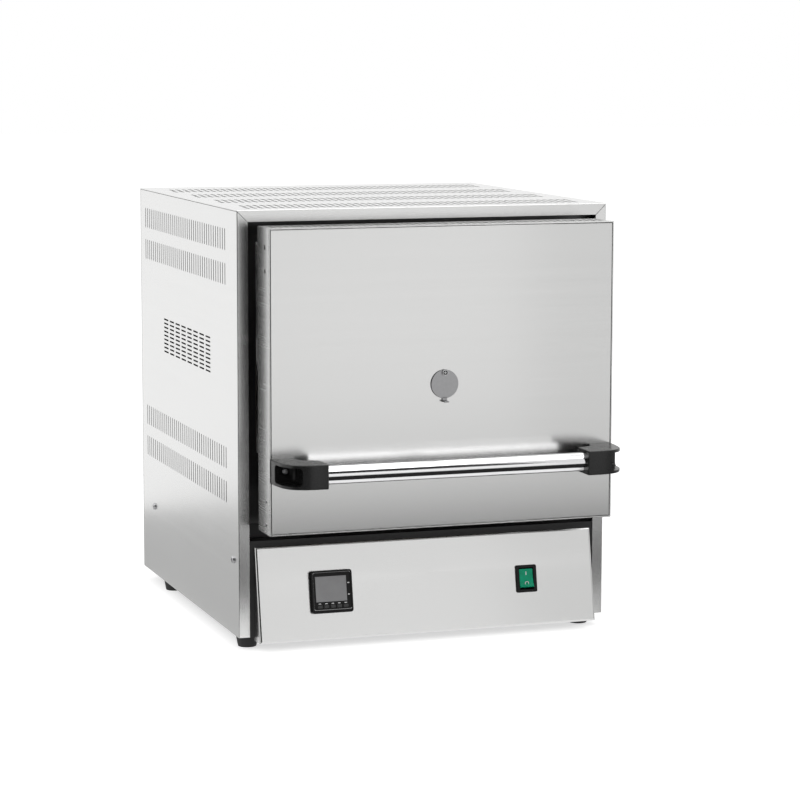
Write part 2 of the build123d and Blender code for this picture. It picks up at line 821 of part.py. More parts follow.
# ================================================================ handle
# each bracket is a curved beam: a flange above and below, and a web between them
bracket_root = door_half - bracket_root_width
bracket_outer = door_half - 1.0
bracket_inner = door_half - bracket_width
bracket_shell_end = door_half - bracket_width * 0.45
bracket_front = door_front - bracket_reach
cheek_start = (bracket_outer - tube_wall, door_front - bracket_reach * 0.36)
finger_end = door_front - bracket_reach * 0.39
pocket_root = bracket_reach * 0.23
pocket_depth = bracket_width * 0.37
bracket_low = handle_z - bracket_height / 2
for side, hand in SIDES:
    with BuildPart() as handle_bracket:
        # plan of the flanges, drawn for the viewer's right and mirrored for the left
        with BuildSketch(Plane.XY.offset(bracket_low)):
            with BuildLine():
                Line((bracket_root, door_front), (bracket_outer, door_front))
                Line((bracket_outer, door_front), cheek_start)
                Spline(
                    cheek_start,
                    (bracket_outer - bracket_width / 6, door_front - bracket_reach * 0.75),
                    (bracket_shell_end, bracket_front + bracket_flange * 1.3),
                    (bracket_inner, bracket_front),
                    tangents=((-0.1, -1), (-1, -0.05)),
                )
                Line((bracket_inner, bracket_front), (bracket_inner, finger_end))
                Spline(
                    (bracket_inner, finger_end),
                    (bracket_root - bracket_width / 8, door_front - bracket_reach * 0.27),
                    (bracket_root, door_front),
                    tangents=((1, 0.05), (0.1, 1)),
                )
            make_face()
        extrude(amount=bracket_height)
        # pocket in the outer side, with the screws at its bottom
        with BuildSketch(Plane.XY.offset(bracket_low + bracket_flange)):
            with BuildLine():
                Polyline(
                    (door_half + pocket_depth, door_front - pocket_root),
                    (bracket_outer - pocket_depth, door_front - pocket_root),
                    (bracket_outer - pocket_depth * 1.1, door_front - bracket_reach * 0.6),
                    (bracket_shell_end + bracket_flange, door_front - bracket_reach * 1.1),
                    (door_half + pocket_depth, door_front - bracket_reach * 1.1),
                    close=True,
                )
            make_face()
        extrude(amount=bracket_height - 2 * bracket_flange, mode=Mode.SUBTRACT)
        # hollow behind the web where the fingers go, and the seat of the tube
        with BuildSketch(Plane.XY.offset(bracket_low + bracket_flange)):
            with Locations((bracket_inner - tube_wall, tube_y)):
                Circle(tube_diameter / 2 + bracket_flange)
        extrude(amount=bracket_height - 2 * bracket_flange, mode=Mode.SUBTRACT)
        rod(
            (bracket_inner, tube_y, handle_z),
            (1, 0, 0),
            tube_diameter / 2 + running_play,
            tube_insertion + side_play,
            Mode.SUBTRACT,
        )
        fillet(
            handle_bracket.edges().filter_by(Axis.Z).group_by(Axis.Y)[0],
            radius=bracket_flange / 2,
        )
        if side < 0:
            mirror(handle_bracket.part, about=Plane.YZ, mode=Mode.REPLACE)
    handle_bracket.part.label = f"{hand}_handle_bracket"
    export_step(handle_bracket.part, f"parts/{hand}_handle_bracket.step")

with BuildPart() as handle_tube:
    tube_half = bracket_inner + tube_insertion
    with BuildSketch(Plane.YZ.offset(-tube_half)):
        with Locations((tube_y, handle_z)):
            Circle(tube_diameter / 2)
            Circle(tube_diameter / 2 - tube_wall, mode=Mode.SUBTRACT)
    extrude(amount=2 * tube_half)
handle_tube.part.label = "handle_tube"
export_step(handle_tube.part, "parts/handle_tube.step")

with BuildPart() as handle_screws:
    for side, _ in SIDES:
        seat = (side * handle_screw_x, door_front - pocket_root, handle_z)
        head(seat, (0, -1, 0))
handle_screws.part.label = "handle_screws"
export_step(handle_screws.part, "parts/handle_screws.step")

# ================================================================ sight-hole cover
tab_width = 5.5
tab_reach = 8.0
cover_screw_radius = 1.6
with BuildPart() as peephole_cover:
    with BuildSketch(Plane.XZ.offset(-cover_back)):
        with Locations((0, sight_z)):
            Circle(cover_diameter / 2)
        with Locations((0, sight_z - cover_diameter / 2 - 1)):
            Rectangle(tab_width, 6)
        with Locations((0, cover_pin_z)):
            Circle(cover_screw_radius + running_play, mode=Mode.SUBTRACT)
    extrude(amount=cover_thickness)
    tab_bottom = sight_z - cover_diameter / 2 - 4
    block(
        (-tab_width / 2, tab_width / 2),
        (cover_back - tab_reach, cover_back),
        (tab_bottom, tab_bottom + cover_thickness),
    )
peephole_cover.part.label = "peephole_cover"
export_step(peephole_cover.part, "parts/peephole_cover.step")

with BuildPart() as cover_pivot_screw:
    head_back = cover_front - side_play
    head((0, head_back, cover_pin_z), (0, -1, 0), 3.4, 1.6)
    rod((0, head_back, cover_pin_z), (0, 1, 0), cover_screw_radius, door_front - head_back)
cover_pivot_screw.part.label = "cover_pivot_screw"
export_step(cover_pivot_screw.part, "parts/cover_pivot_screw.step")

# ================================================================ control panel
# a folded box, open at the back: its front leans back, with rounded bends all round
with BuildPart() as panel_core:
    with BuildSketch(Plane.YZ.offset(-door_half + sheet)):
        with BuildLine():
            Polyline(
                (front + 2 * sheet, panel_bottom + sheet),
                (front - panel_bottom_reach + sheet, panel_bottom + sheet),
                (front - panel_top_reach + sheet, panel_top - sheet),
                (front + 2 * sheet, panel_top - sheet),
                close=True,
            )
        make_face()
    extrude(amount=2 * (door_half - sheet))
    fillet(panel_core.faces().sort_by(Axis.Y)[0].edges(), radius=panel_bend - sheet)

with BuildPart() as control_panel:
    with BuildSketch(Plane.YZ.offset(-door_half)):
        with BuildLine():
            Polyline(
                (front + sheet, panel_bottom),
                (front - panel_bottom_reach, panel_bottom),
                (front - panel_top_reach, panel_top),
                (front + sheet, panel_top),
                close=True,
            )
        make_face()
    extrude(amount=2 * door_half)
    fillet(control_panel.faces().sort_by(Axis.Y)[0].edges(), radius=panel_bend)
    add(panel_core.part, mode=Mode.SUBTRACT)
    with BuildSketch(panel_face):
        with Locations((controller_x, 0)):
            Rectangle(controller_body + 0.4, controller_body + 0.4)
        with Locations((switch_x, 0)):
            Rectangle(switch_width - 3, switch_height - 3)
    extrude(amount=-4 * sheet, mode=Mode.SUBTRACT)
control_panel.part.label = "control_panel"
export_step(control_panel.part, "parts/control_panel.step")

# temperature controller: bezel with a window and five keys, and its case behind the panel
window_width = controller_size - 9
window_height = controller_size - 20
window_rise = 5.0
key_width = 5.6
key_height = 4.4
key_pitch = 7.6
key_drop = 16.0
key_places = [(controller_x + (i - 2) * key_pitch, -key_drop) for i in range(5)]
with BuildPart() as controller_bezel:
    with BuildSketch(panel_face):
        with Locations((controller_x, 0)):
            RectangleRounded(controller_size, controller_size, 3)
    extrude(amount=controller_reach)
    chamfer(controller_bezel.faces().sort_by(Axis.Y)[0].edges(), length=1)
    with BuildSketch(panel_face.offset(controller_reach)):
        with Locations((controller_x, window_rise)):
            Rectangle(window_width, window_height)
    extrude(amount=-2, mode=Mode.SUBTRACT)
    with BuildSketch(panel_face):
        with Locations(*key_places):
            Rectangle(key_width + 2 * key_play, key_height + 2 * key_play)
    extrude(amount=controller_reach + 1, mode=Mode.SUBTRACT)
controller_bezel.part.label = "controller_bezel"
export_step(controller_bezel.part, "parts/controller_bezel.step")

with BuildPart() as controller_window:
    with BuildSketch(panel_face.offset(controller_reach - 2)):
        with Locations((controller_x, window_rise)):
            Rectangle(window_width - 0.4, window_height - 0.4)
    extrude(amount=1.5)
controller_window.part.label = "controller_window"
export_step(controller_window.part, "parts/controller_window.step")

with BuildPart() as controller_case:
    with BuildSketch(panel_face):
        with Locations((controller_x, 0)):
            Rectangle(controller_body, controller_body)
    extrude(amount=-controller_length)
controller_case.part.label = "controller_case"
export_step(controller_case.part, "parts/controller_case.step")

for number, place in enumerate(key_places, start=1):
    with BuildPart() as controller_key:
        with BuildSketch(panel_face.offset(key_travel + 0.2)):
            with Locations(place):
                Rectangle(key_width, key_height)
        extrude(amount=controller_reach - 0.2)
    controller_key.part.label = f"controller_key_{number}"
    export_step(controller_key.part, f"parts/controller_key_{number}.step")

# rocker switch: housing snapped into the panel, and the rocker on its trunnions
rocker_width = switch_width - 8.5
rocker_half = switch_height / 2 - 3.5
rocker_play = 0.3
rocker_axis_depth = 4.0
trunnion_radius = 1.5
rocker_floor = rocker_axis_depth + rocker_half * 0.75
with BuildPart() as switch_housing:
    with BuildSketch(panel_face):
        with Locations((switch_x, 0)):
            RectangleRounded(switch_width, switch_height, 2)
    extrude(amount=switch_flange)
    chamfer(switch_housing.faces().sort_by(Axis.Y)[0].edges(), length=0.8)
    with BuildSketch(panel_face):
        with Locations((switch_x, 0)):
            Rectangle(switch_width - 3.4, switch_height - 3.4)
    extrude(amount=-rocker_floor - 8)
    with BuildSketch(panel_face.offset(-rocker_floor)):
        with Locations((switch_x, 0)):
            Rectangle(rocker_width + 2 * rocker_play, 2 * (rocker_half + rocker_play))
    extrude(amount=rocker_floor + switch_flange + 1, mode=Mode.SUBTRACT)
    pivot = panel_face.from_local_coords((switch_x, 0, -rocker_axis_depth))
    rod(
        (pivot.X - rocker_width / 2 - 1.3, pivot.Y, pivot.Z),
        (1, 0, 0),
        trunnion_radius + running_play,
        rocker_width + 2.6,
        Mode.SUBTRACT,
    )
switch_housing.part.label = "switch_housing"
export_step(switch_housing.part, "parts/switch_housing.step")

# section of the rocker: flush above the axis (pressed in), raised below it
face_height = rocker_axis_depth + switch_flange * 0.6
with BuildPart() as power_rocker:
    section_plane = Plane(
        origin=(pivot.X - rocker_width / 2, pivot.Y, pivot.Z),
        x_dir=panel_face.y_dir,
        z_dir=(1, 0, 0),
    )
    with BuildSketch(section_plane):
        Circle(rocker_half)
        with BuildLine():
            Polyline(
                (0, face_height),
                (rocker_half + 1, face_height),
                (rocker_half + 1, -rocker_half / 4),
                (rocker_half / 4, -rocker_half * 0.6),
                (-rocker_half / 4, -rocker_half * 0.6),
                (-rocker_half - 1, -rocker_half / 4),
                (
                    -(rocker_half + 1) * cos(radians(rocker_throw)),
                    face_height + (rocker_half + 1) * sin(radians(rocker_throw)),
                ),
                close=True,
            )
        make_face(mode=Mode.INTERSECT)
    extrude(amount=rocker_width)
    rod(
        (pivot.X - rocker_width / 2 - 1, pivot.Y, pivot.Z),
        (1, 0, 0),
        trunnion_radius,
        rocker_width + 2,
    )
power_rocker.part.label = "power_rocker"
export_step(power_rocker.part, "parts/power_rocker.step")

# ================================================================ electrics in the tray
sink_x = half_width / 2
sink_y = (front + back) / 2
tray_floor = bottom + sheet
sink_base = 5.0
fin_height = 26.0
sink_width = 62.0
sink_length = 90.0
fin_thickness = 2.0
fins = 9
with BuildPart() as relay_heat_sink:
    block(
        (sink_x - sink_width / 2, sink_x + sink_width / 2),
        (sink_y - sink_length / 2, sink_y + sink_length / 2),
        (tray_floor + fin_height, tray_floor + fin_height + sink_base),
    )
    with BuildSketch(Plane.XY.offset(tray_floor)):
        with Locations((sink_x, sink_y)):
            with GridLocations((sink_width - fin_thickness) / (fins - 1), 1, fins, 1):
                Rectangle(fin_thickness, sink_length)
    extrude(amount=fin_height)
relay_heat_sink.part.label = "relay_heat_sink"
export_step(relay_heat_sink.part, "parts/relay_heat_sink.step")

relay_width = 45.0
relay_length = 58.0
relay_height = 24.0
relay_step = 10.0
relay_bottom = tray_floor + fin_height + sink_base
with BuildPart() as solid_state_relay:
    block(
        (sink_x - relay_width / 2, sink_x + relay_width / 2),
        (sink_y - relay_length / 2, sink_y + relay_length / 2),
        (relay_bottom, relay_bottom + relay_height),
    )
    with Locations(*[
        (sink_x, sink_y + end * (relay_length - relay_step) / 2, relay_bottom + relay_height)
        for end in (-1, 1)
    ]):
        Box(relay_width - 2 * relay_step, relay_step, relay_step, mode=Mode.SUBTRACT)
solid_state_relay.part.label = "solid_state_relay"
export_step(solid_state_relay.part, "parts/solid_state_relay.step")

terminal_width = 70.0
terminal_height = 18.0
terminal_setback = 70.0
terminal_well = 9.0
terminals = 5
with BuildPart() as terminal_block:
    terminal_y = back - terminal_setback
    block(
        (gland_x - terminal_width / 2, gland_x + terminal_width / 2),
        (terminal_y - terminal_height / 2, terminal_y + terminal_height / 2),
        (tray_floor, tray_floor + terminal_height),
    )
    with Locations((gland_x, terminal_y, tray_floor + terminal_height)):
        with GridLocations(terminal_width / terminals, 1, terminals, 1):
            Box(terminal_well, terminal_well, terminal_well, mode=Mode.SUBTRACT)
terminal_block.part.label = "terminal_block"
export_step(terminal_block.part, "parts/terminal_block.step")

# cord gland: body through both walls, hexagon outside, tapered clamping nut
with BuildPart() as cable_gland:
    with BuildSketch(Plane(origin=(gland_x, back, gland_z), z_dir=(0, 1, 0))):
        RegularPolygon(gland_radius + 1.5, 6, major_radius=False)
    extrude(amount=gland_reach * 0.35)
    with BuildSketch(
        Plane(origin=(gland_x, back + gland_reach * 0.35, gland_z), z_dir=(0, 1, 0))
    ):
        Circle(gland_radius + 1)
    extrude(amount=gland_reach * 0.65, taper=8)
    rod(
        (gland_x, back, gland_z),
        (0, -1, 0),
        gland_radius - 2 - running_play,
        3 * sheet + 6,
    )
    rod(
        (gland_x, back + gland_reach + 1, gland_z),
        (0, -1, 0),
        gland_bore / 2,
        gland_reach + 3 * sheet + 8,
        Mode.SUBTRACT,
    )
cable_gland.part.label = "cable_gland"
export_step(cable_gland.part, "parts/cable_gland.step")
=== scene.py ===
"""Looks of the bench-top muffle furnace: punched casing, lift-up door, control panel and chamber."""

import bmesh
import bpy
from math import cos, pi, radians, sin
from mathutils import Matrix, Vector


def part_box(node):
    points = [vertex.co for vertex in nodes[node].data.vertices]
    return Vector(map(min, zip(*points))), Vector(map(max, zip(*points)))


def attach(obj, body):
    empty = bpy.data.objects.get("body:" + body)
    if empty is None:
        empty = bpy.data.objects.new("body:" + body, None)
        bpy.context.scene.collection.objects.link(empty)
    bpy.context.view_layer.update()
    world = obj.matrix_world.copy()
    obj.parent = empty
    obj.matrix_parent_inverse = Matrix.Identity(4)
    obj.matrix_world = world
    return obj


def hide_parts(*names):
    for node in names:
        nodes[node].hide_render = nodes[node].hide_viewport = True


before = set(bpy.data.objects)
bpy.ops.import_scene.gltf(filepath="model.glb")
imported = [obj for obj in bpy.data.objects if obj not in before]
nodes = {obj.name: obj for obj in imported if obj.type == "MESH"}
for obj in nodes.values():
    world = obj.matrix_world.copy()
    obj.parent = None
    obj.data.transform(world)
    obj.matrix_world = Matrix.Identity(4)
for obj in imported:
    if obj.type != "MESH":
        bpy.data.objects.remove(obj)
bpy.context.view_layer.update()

# ---------------------------------------------------------------- view
# The camera stands three metres off, to the left of the door and a little above the top panel.
# Its long lens keeps the casing's upright edges almost parallel.
turn, tilt, roll = radians(-18.80), radians(7.64), 0.0017
backward = Vector((sin(turn) * cos(tilt), -cos(turn) * cos(tilt), sin(tilt)))
rightward = Vector((cos(turn), sin(turn), 0))
camera = bpy.data.objects.new("view", bpy.data.cameras.new("view"))
camera.data.lens = 124.34
camera.data.sensor_width = 36
camera.matrix_world = (
    Matrix.Translation((-1.0264, -3.1029, 0.6921))
    @ Matrix((rightward, backward.cross(rightward), backward)).transposed().to_4x4()
    @ Matrix.Rotation(roll, 4, "Z")
)
bpy.context.scene.collection.objects.link(camera)
bpy.context.scene.camera = camera
bpy.context.scene.view_settings.view_transform = "Standard"


# ---------------------------------------------------------------- studio
# A pale floor runs out to the white surround, under a soft lamp on each side and one above.
# It is white where nothing shades it, and keeps the furnace's soft shadow.


class Link:
    """An output of a node. Arithmetic on it adds Math nodes to the same tree."""

    def __init__(self, tree, output):
        self.tree, self.output = tree, output

    def maths(self, operation, *terms):
        return self.tree.node("ShaderNodeMath", {"operation": operation}, dict(enumerate(terms)))

    def __add__(self, other):
        return self.maths("ADD", self, other)

    def __sub__(self, other):
        return self.maths("SUBTRACT", self, other)

    def __rsub__(self, other):
        return self.maths("SUBTRACT", other, self)

    def __mul__(self, other):
        return self.maths("MULTIPLY", self, other)

    def __gt__(self, other):
        return self.maths("GREATER_THAN", self, other)

    __radd__, __rmul__ = __add__, __mul__


class Tree:
    """The nodes of one material, or of the world."""

    def __init__(self, owner):
        owner.use_nodes = True
        self.owner, self.nodes, self.links = owner, owner.node_tree.nodes, owner.node_tree.links
        self.nodes.clear()

    def node(self, kind, settings, sockets, output=0):
        """A node with its settings and its sockets' values or links; gives one of its outputs."""
        node = self.nodes.new(kind)
        for name, value in settings.items():
            if name == "stops":
                ramp = node.color_ramp.elements
                while len(ramp) < len(value):
                    ramp.new(1.0)
                for element, (place, tone) in zip(ramp, value):
                    element.position, element.color = place, (*tone, 1)
            else:
                setattr(node, name, value)
        for name, value in sockets.items():
            if isinstance(value, Link):
                self.links.new(value.output, node.inputs[name])
            else:
                node.inputs[name].default_value = value
        return Link(self, node.outputs[output]) if node.outputs else None


def seen_straight(tree):
    """1 where the camera looks, straight on, in a mirror or through glass; 0 for the light itself."""
    path = [tree.node("ShaderNodeLightPath", {}, {}, way) for way in (
        "Is Camera Ray", "Is Glossy Ray", "Is Transmission Ray")]
    return path[0] + path[1] + path[2] > 0.5


world = bpy.data.worlds.new("studio")
bpy.context.scene.world = world
sky = Tree(world)
surround = sky.node("ShaderNodeBackground", {}, {"Color": (1, 1, 1, 1), "Strength": 1.0})
fill = sky.node("ShaderNodeBackground", {}, {"Color": (1, 1, 1, 1), "Strength": 0.62})
mixed = sky.node("ShaderNodeMixShader", {}, {0: seen_straight(sky), 1: fill, 2: surround})
sky.node("ShaderNodeOutputWorld", {}, {"Surface": mixed})

bpy.ops.object.select_all(action="DESELECT")
bpy.ops.mesh.primitive_plane_add(size=30, location=(0, 0, 0))
floor = bpy.context.object
floor.name = "floor"
paper = Tree(bpy.data.materials.new("studio_paper"))
lit = paper.node("ShaderNodeBsdfDiffuse", {}, {"Color": (0.82, 0.82, 0.82, 1)})
in_view = paper.node("ShaderNodeLightPath", {}, {}, "Is Camera Ray")
glow = paper.node("ShaderNodeEmission", {}, {"Color": (1, 1, 1, 1), "Strength": 0.60})
white = paper.node("ShaderNodeEmission", {}, {"Color": (1, 1, 1, 1), "Strength": 1.0})
near = paper.node("ShaderNodeAddShader", {}, {0: lit, 1: glow})
mirrored = paper.node("ShaderNodeMixShader", {}, {0: seen_straight(paper), 1: lit, 2: white})
shown = paper.node("ShaderNodeMixShader", {}, {0: in_view, 1: mirrored, 2: near})
paper.node("ShaderNodeOutputMaterial", {}, {"Surface": shown})
floor.data.materials.append(paper.owner)


# cards that only reflections meet: cloths on the floor, upright screens and a bar high in front
def card(name, tone, place, size, turned=(0, 0, 0)):
    """A plain rectangle that only glossy surfaces see."""
    cloth = Tree(bpy.data.materials.new(name))
    cloth.node("ShaderNodeOutputMaterial", {}, {
        "Surface": cloth.node("ShaderNodeEmission", {}, {"Color": (1, 1, 1, 1), "Strength": tone})
    })
    bpy.ops.object.select_all(action="DESELECT")
    bpy.ops.mesh.primitive_plane_add(size=1, location=place, rotation=turned)
    sheet = bpy.context.object
    sheet.name = name
    sheet.scale = (*size, 1)
    bpy.ops.object.transform_apply(location=True, rotation=True, scale=True)
    sheet.data.materials.append(cloth.owner)
    sheet.visible_camera = sheet.visible_diffuse = False
    sheet.visible_transmission = sheet.visible_shadow = False


card("left_cloth", 0.5, (-0.71, -0.15, 0.002), (0.96, 1.8))
card("right_cloth", 0.5, (0.71, -0.15, 0.002), (0.96, 1.8))
card("rear_cloth", 0.5, (0, 0.68, 0.002), (0.46, 0.75))
card("front_cloth", 0.82, (0.1, -1.00, 0.003), (2.6, 1.2))
card("black_cloth", 0.02, (0.1, -0.675, 0.004), (2.4, 0.61))
card("left_screen", 0.02, (-0.85, -1.12, 0.75), (1.70, 1.5), (radians(90), 0, radians(-25)))
card("right_screen", 0.50, (1.45, -1.05, 0.75), (1.2, 1.5), (radians(90), 0, radians(35)))
card("right_haze", 0.84, (1.12, -1.30, 0.75), (1.2, 1.5), (radians(90), 0, 0))
card("front_bar", 0.05, (0.7, -1.80, 1.13), (2.4, 0.96), (radians(55), 0, 0))

for name, place, aim, size, power in (
    ("lamp_left", (-2.4, -1.6, 2.2), (0, 0, 0.25), 2.2, 30),
    ("lamp_right", (2.6, -2.6, 1.9), (0, 0, 0.25), 2.0, 12),
    ("lamp_above", (0.25, -0.95, 1.7), (0.05, -0.25, 0.2), 1.3, 9),
):
    lamp = bpy.data.objects.new(name, bpy.data.lights.new(name, "AREA"))
    lamp.data.size = size
    lamp.data.energy = power
    lamp.visible_glossy = name == "lamp_above"
    lamp.location = place
    lamp.rotation_euler = (Vector(place) - Vector(aim)).to_track_quat("Z", "Y").to_euler()
    bpy.context.scene.collection.objects.link(lamp)


# ---------------------------------------------------------------- side panels
# Each side is one stainless sheet, folded in at the front, the back and the top.
# It is punched with four bands of upright vents, and a block of level ones between them.
def slab(name, low, high):
    """A block between two corners, alone in the selection."""
    bpy.ops.object.select_all(action="DESELECT")
    middle = [(a + b) / 2 for a, b in zip(low, high)]
    bpy.ops.mesh.primitive_cube_add(
        size=1, location=middle, scale=[b - a for a, b in zip(low, high)]
    )
    return settle(name)


def settle(name):
    """Names the object just made and puts its place, turn and scale into its mesh."""
    piece = bpy.context.object
    piece.name = piece.data.name = name
    bpy.ops.object.transform_apply(location=True, rotation=True, scale=True)
    return piece


def pick(piece, kind, test):
    """Opens the piece with only the verts, edges or faces selected whose middle passes the test."""
    bpy.context.view_layer.objects.active = piece
    bpy.ops.object.mode_set(mode="EDIT")
    bpy.ops.mesh.select_mode(type={"verts": "VERT", "edges": "EDGE", "faces": "FACE"}[kind])
    bpy.ops.mesh.select_all(action="DESELECT")
    mesh = bmesh.from_edit_mesh(piece.data)
    for item in getattr(mesh, kind):
        corners = [item] if kind == "verts" else item.verts
        middle = sum((corner.co for corner in corners), Vector()) / len(corners)
        item.select_set(bool(test(middle, item)))
    mesh.select_flush_mode()
    bmesh.update_edit_mesh(piece.data)


def close():
    bpy.ops.object.mode_set(mode="OBJECT")


def modify(piece, kind, **settings):
    """Adds a modifier to the piece and applies it."""
    bpy.ops.object.select_all(action="DESELECT")
    piece.select_set(True)
    bpy.context.view_layer.objects.active = piece
    change = piece.modifiers.new(kind.lower(), kind)
    for name, value in settings.items():
        setattr(change, name, value)
    bpy.ops.object.modifier_apply(modifier=change.name)


def punch(piece, tool):
    """Cuts the tool's shape out of the piece and clears the tool away."""
    modify(piece, "BOOLEAN", object=tool, operation="DIFFERENCE", solver="EXACT")
    bpy.data.objects.remove(tool)


def parallel(item, axis):
    """Whether an edge runs along an axis, 0 to 2."""
    along = (item.verts[1].co - item.verts[0].co).normalized()
    return abs(along[axis]) > 0.99


def slots(low, high, through, rows, rounding=0.0013):
    """A tool for a pattern of round-ended slots: one block, then copies by each (count, step)."""
    tool = slab("slot_tool", low, high)
    pick(tool, "edges", lambda middle, edge: parallel(edge, through))
    bpy.ops.mesh.bevel(offset=rounding, segments=3, affect="EDGES")
    close()
    for count, step in rows:
        modify(
            tool,
            "ARRAY",
            count=count,
            use_relative_offset=False,
            use_constant_offset=True,
            constant_offset_displace=step,
        )
    return tool


def flat_shaded(piece, angle=30):
    bpy.ops.object.select_all(action="DESELECT")
    piece.select_set(True)
    bpy.context.view_layer.objects.active = piece
    bpy.ops.object.shade_smooth_by_angle(angle=radians(angle))
    modify(piece, "WEIGHTED_NORMAL", keep_sharp=True)


def brushed_steel(name, grain, tone=0.66, rough=0.24, depth=0.05, drawn_out=0.0):
    """Stainless sheet with a drawn grain: its frequency along X, Y and Z, and its pull on the shine."""
    steel = Tree(bpy.data.materials.new(name))
    place = steel.node("ShaderNodeTexCoord", {}, {}, "Object")
    drawn = steel.node("ShaderNodeVectorMath", {"operation": "MULTIPLY"}, {0: place, 1: grain})
    broad = [frequency * 0.06 for frequency in grain]
    wide = steel.node("ShaderNodeVectorMath", {"operation": "MULTIPLY"}, {0: place, 1: broad})
    hair = steel.node("ShaderNodeTexNoise", {}, {"Vector": drawn, "Scale": 1.0, "Detail": 4.0})
    band = steel.node("ShaderNodeTexNoise", {}, {"Vector": wide, "Scale": 1.0, "Detail": 2.0})
    haze = steel.node("ShaderNodeTexNoise", {}, {"Vector": place, "Scale": 7.0, "Detail": 3.0})
    shade = hair * 0.05 + band * 0.03 + haze * 0.02 + (tone - 0.05)
    colour = steel.node("ShaderNodeCombineColor", {}, {0: shade, 1: shade, 2: shade * 0.992})
    bump = steel.node(
        "ShaderNodeBump", {}, {"Strength": depth, "Distance": 0.00004, "Height": hair}
    )
    surface = steel.node("ShaderNodeBsdfPrincipled", {}, {
        "Base Color": colour,
        "Metallic": 1.0,
        "Roughness": hair * 0.06 + band * 0.03 + haze * 0.03 + (rough - 0.06),
        "Anisotropic": drawn_out,
        "Anisotropic Rotation": 0.25,
        "Normal": bump,
    })
    steel.node("ShaderNodeOutputMaterial", {}, {"Surface": surface})
    return steel.owner


def dress(name, material):
    """Gives a CAD node its finish."""
    nodes[name].data.materials.clear()
    nodes[name].data.materials.append(material)


def hand_over(piece, material, body, slot_name, *replaced):
    """Gives a finished piece its material and its body, and hides the nodes that it stands for; slot_name
    is not used.
    """
    piece.data.materials.clear()
    piece.data.materials.append(material)
    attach(piece, body)
    if replaced:
        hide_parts(*replaced)


side_steel = brushed_steel("side_steel", (1500, 14, 1500), tone=0.79, rough=0.24, drawn_out=0.4)
side_low, side_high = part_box("right_side_panel")
inner_x, outer_x = side_low.x, side_high.x
front_y = side_low.y
casing_bottom, casing_top = side_low.z, side_high.z + 0.001
fold, sheet, flange, seam, top_gap = 0.0015, 0.001, 0.013, 0.0007, 0.0005

right_side = slab("right_side", side_low, side_high - Vector((0, 0, top_gap)))
pick(right_side, "faces", lambda middle, face: face.normal.x < -0.5 or face.normal.z < -0.5)
bpy.ops.mesh.delete(type="FACE")
close()
pick(right_side, "edges", lambda middle, edge: parallel(edge, 2) and middle.x > inner_x + 0.005)
bpy.ops.mesh.bevel(offset=fold, segments=4, affect="EDGES")
close()
modify(right_side, "SOLIDIFY", thickness=sheet, offset=-1)

# mitre at the upper front corner, where the top panel's flange meets this one
bpy.ops.object.select_all(action="DESELECT")
bpy.ops.mesh.primitive_cube_add(
    size=0.04,
    location=(outer_x - 0.02 * 2**0.5 + seam, front_y, casing_top),
    rotation=(0, radians(45), 0),
)
mitre = settle("mitre_tool")
pick(mitre, "verts", lambda middle, vert: True)
bpy.ops.transform.resize(value=(1, 0.09, 1), center_override=(0, front_y, 0))
close()
punch(right_side, mitre)

vent_start, vent_pitch, vent_length, vent_width = 0.049, 0.00984, 0.0245, 0.003
first_z = casing_bottom + 0.1585
punch(right_side, slots(
    (outer_x - 0.003, front_y + vent_start - vent_width * 0.4, first_z - vent_length / 2),
    (outer_x + 0.002, front_y + vent_start + vent_width * 0.4, first_z + vent_length / 2),
    0,
    ((39, (0, vent_pitch, 0)), (2, (0, 0, 0.0388)), (2, (0, 0, 0.24655))),
    0.001,
))
punch(right_side, slots(
    (outer_x - 0.003, -0.0605, 0.3021),
    (outer_x + 0.002, -0.0395, 0.3041),
    0,
    ((8, (0, 0.0281, 0)), (9, (0, 0, 0.0049))),
    0.0008,
))
left_side = right_side.copy()
left_side.data = right_side.data.copy()
left_side.name = left_side.data.name = "left_side"
bpy.context.scene.collection.objects.link(left_side)
bpy.ops.object.select_all(action="DESELECT")
left_side.select_set(True)
pick(left_side, "faces", lambda middle, face: True)
bpy.ops.transform.resize(value=(-1, 1, 1), center_override=(0, 0, 0))
bpy.ops.mesh.remove_doubles(threshold=0.000001)
bpy.ops.mesh.normals_make_consistent(inside=False)
close()
for panel, hand in ((right_side, "right"), (left_side, "left")):
    flat_shaded(panel)
    hand_over(panel, side_steel, "cabinet", "stainless_brushed", f"{hand}_side_panel")

# ---------------------------------------------------------------- top panel
# One stainless sheet lies over the sides, with a mitred flange folded down at the front.
# Four staggered pairs of vent rows let the hot air out.
top_steel = brushed_steel("top_steel", (14, 1500, 1500), tone=0.76, rough=0.22)
top_low, top_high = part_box("top_panel")
top_sheet = slab("top_sheet", (top_low.x, top_low.y, top_high.z - flange), top_high)
pick(top_sheet, "faces", lambda middle, face: not (face.normal.z > 0.5 or face.normal.y < -0.5))
bpy.ops.mesh.delete(type="FACE")
close()
for side in (-1, 1):
    pick(top_sheet, "verts", lambda middle, vert: middle.z < top_high.z - 0.01 and middle.x * side > 0)
    bpy.ops.transform.translate(value=(-side * flange, 0, 0))
    close()
pick(top_sheet, "edges", lambda middle, edge: (
    middle.z > top_high.z - 0.001 and middle.y < top_low.y + 0.001
))
bpy.ops.mesh.bevel(offset=0.0009, segments=4, affect="EDGES")
close()
modify(top_sheet, "SOLIDIFY", thickness=sheet, offset=-1)
row_y = top_low.y + 0.053 - 0.016
punch(top_sheet, slots(
    (-0.198 - vent_width / 2, row_y - vent_length / 2, top_high.z - 0.003),
    (-0.198 + vent_width / 2, row_y + vent_length / 2, top_high.z + 0.002),
    2,
    ((50, (0.008, 0, 0)), (2, (0.004, 0.032, 0)), (4, (0, 0.1075, 0))),
))
flat_shaded(top_sheet)
hand_over(top_sheet, top_steel, "cabinet", "stainless_brushed", "top_panel")

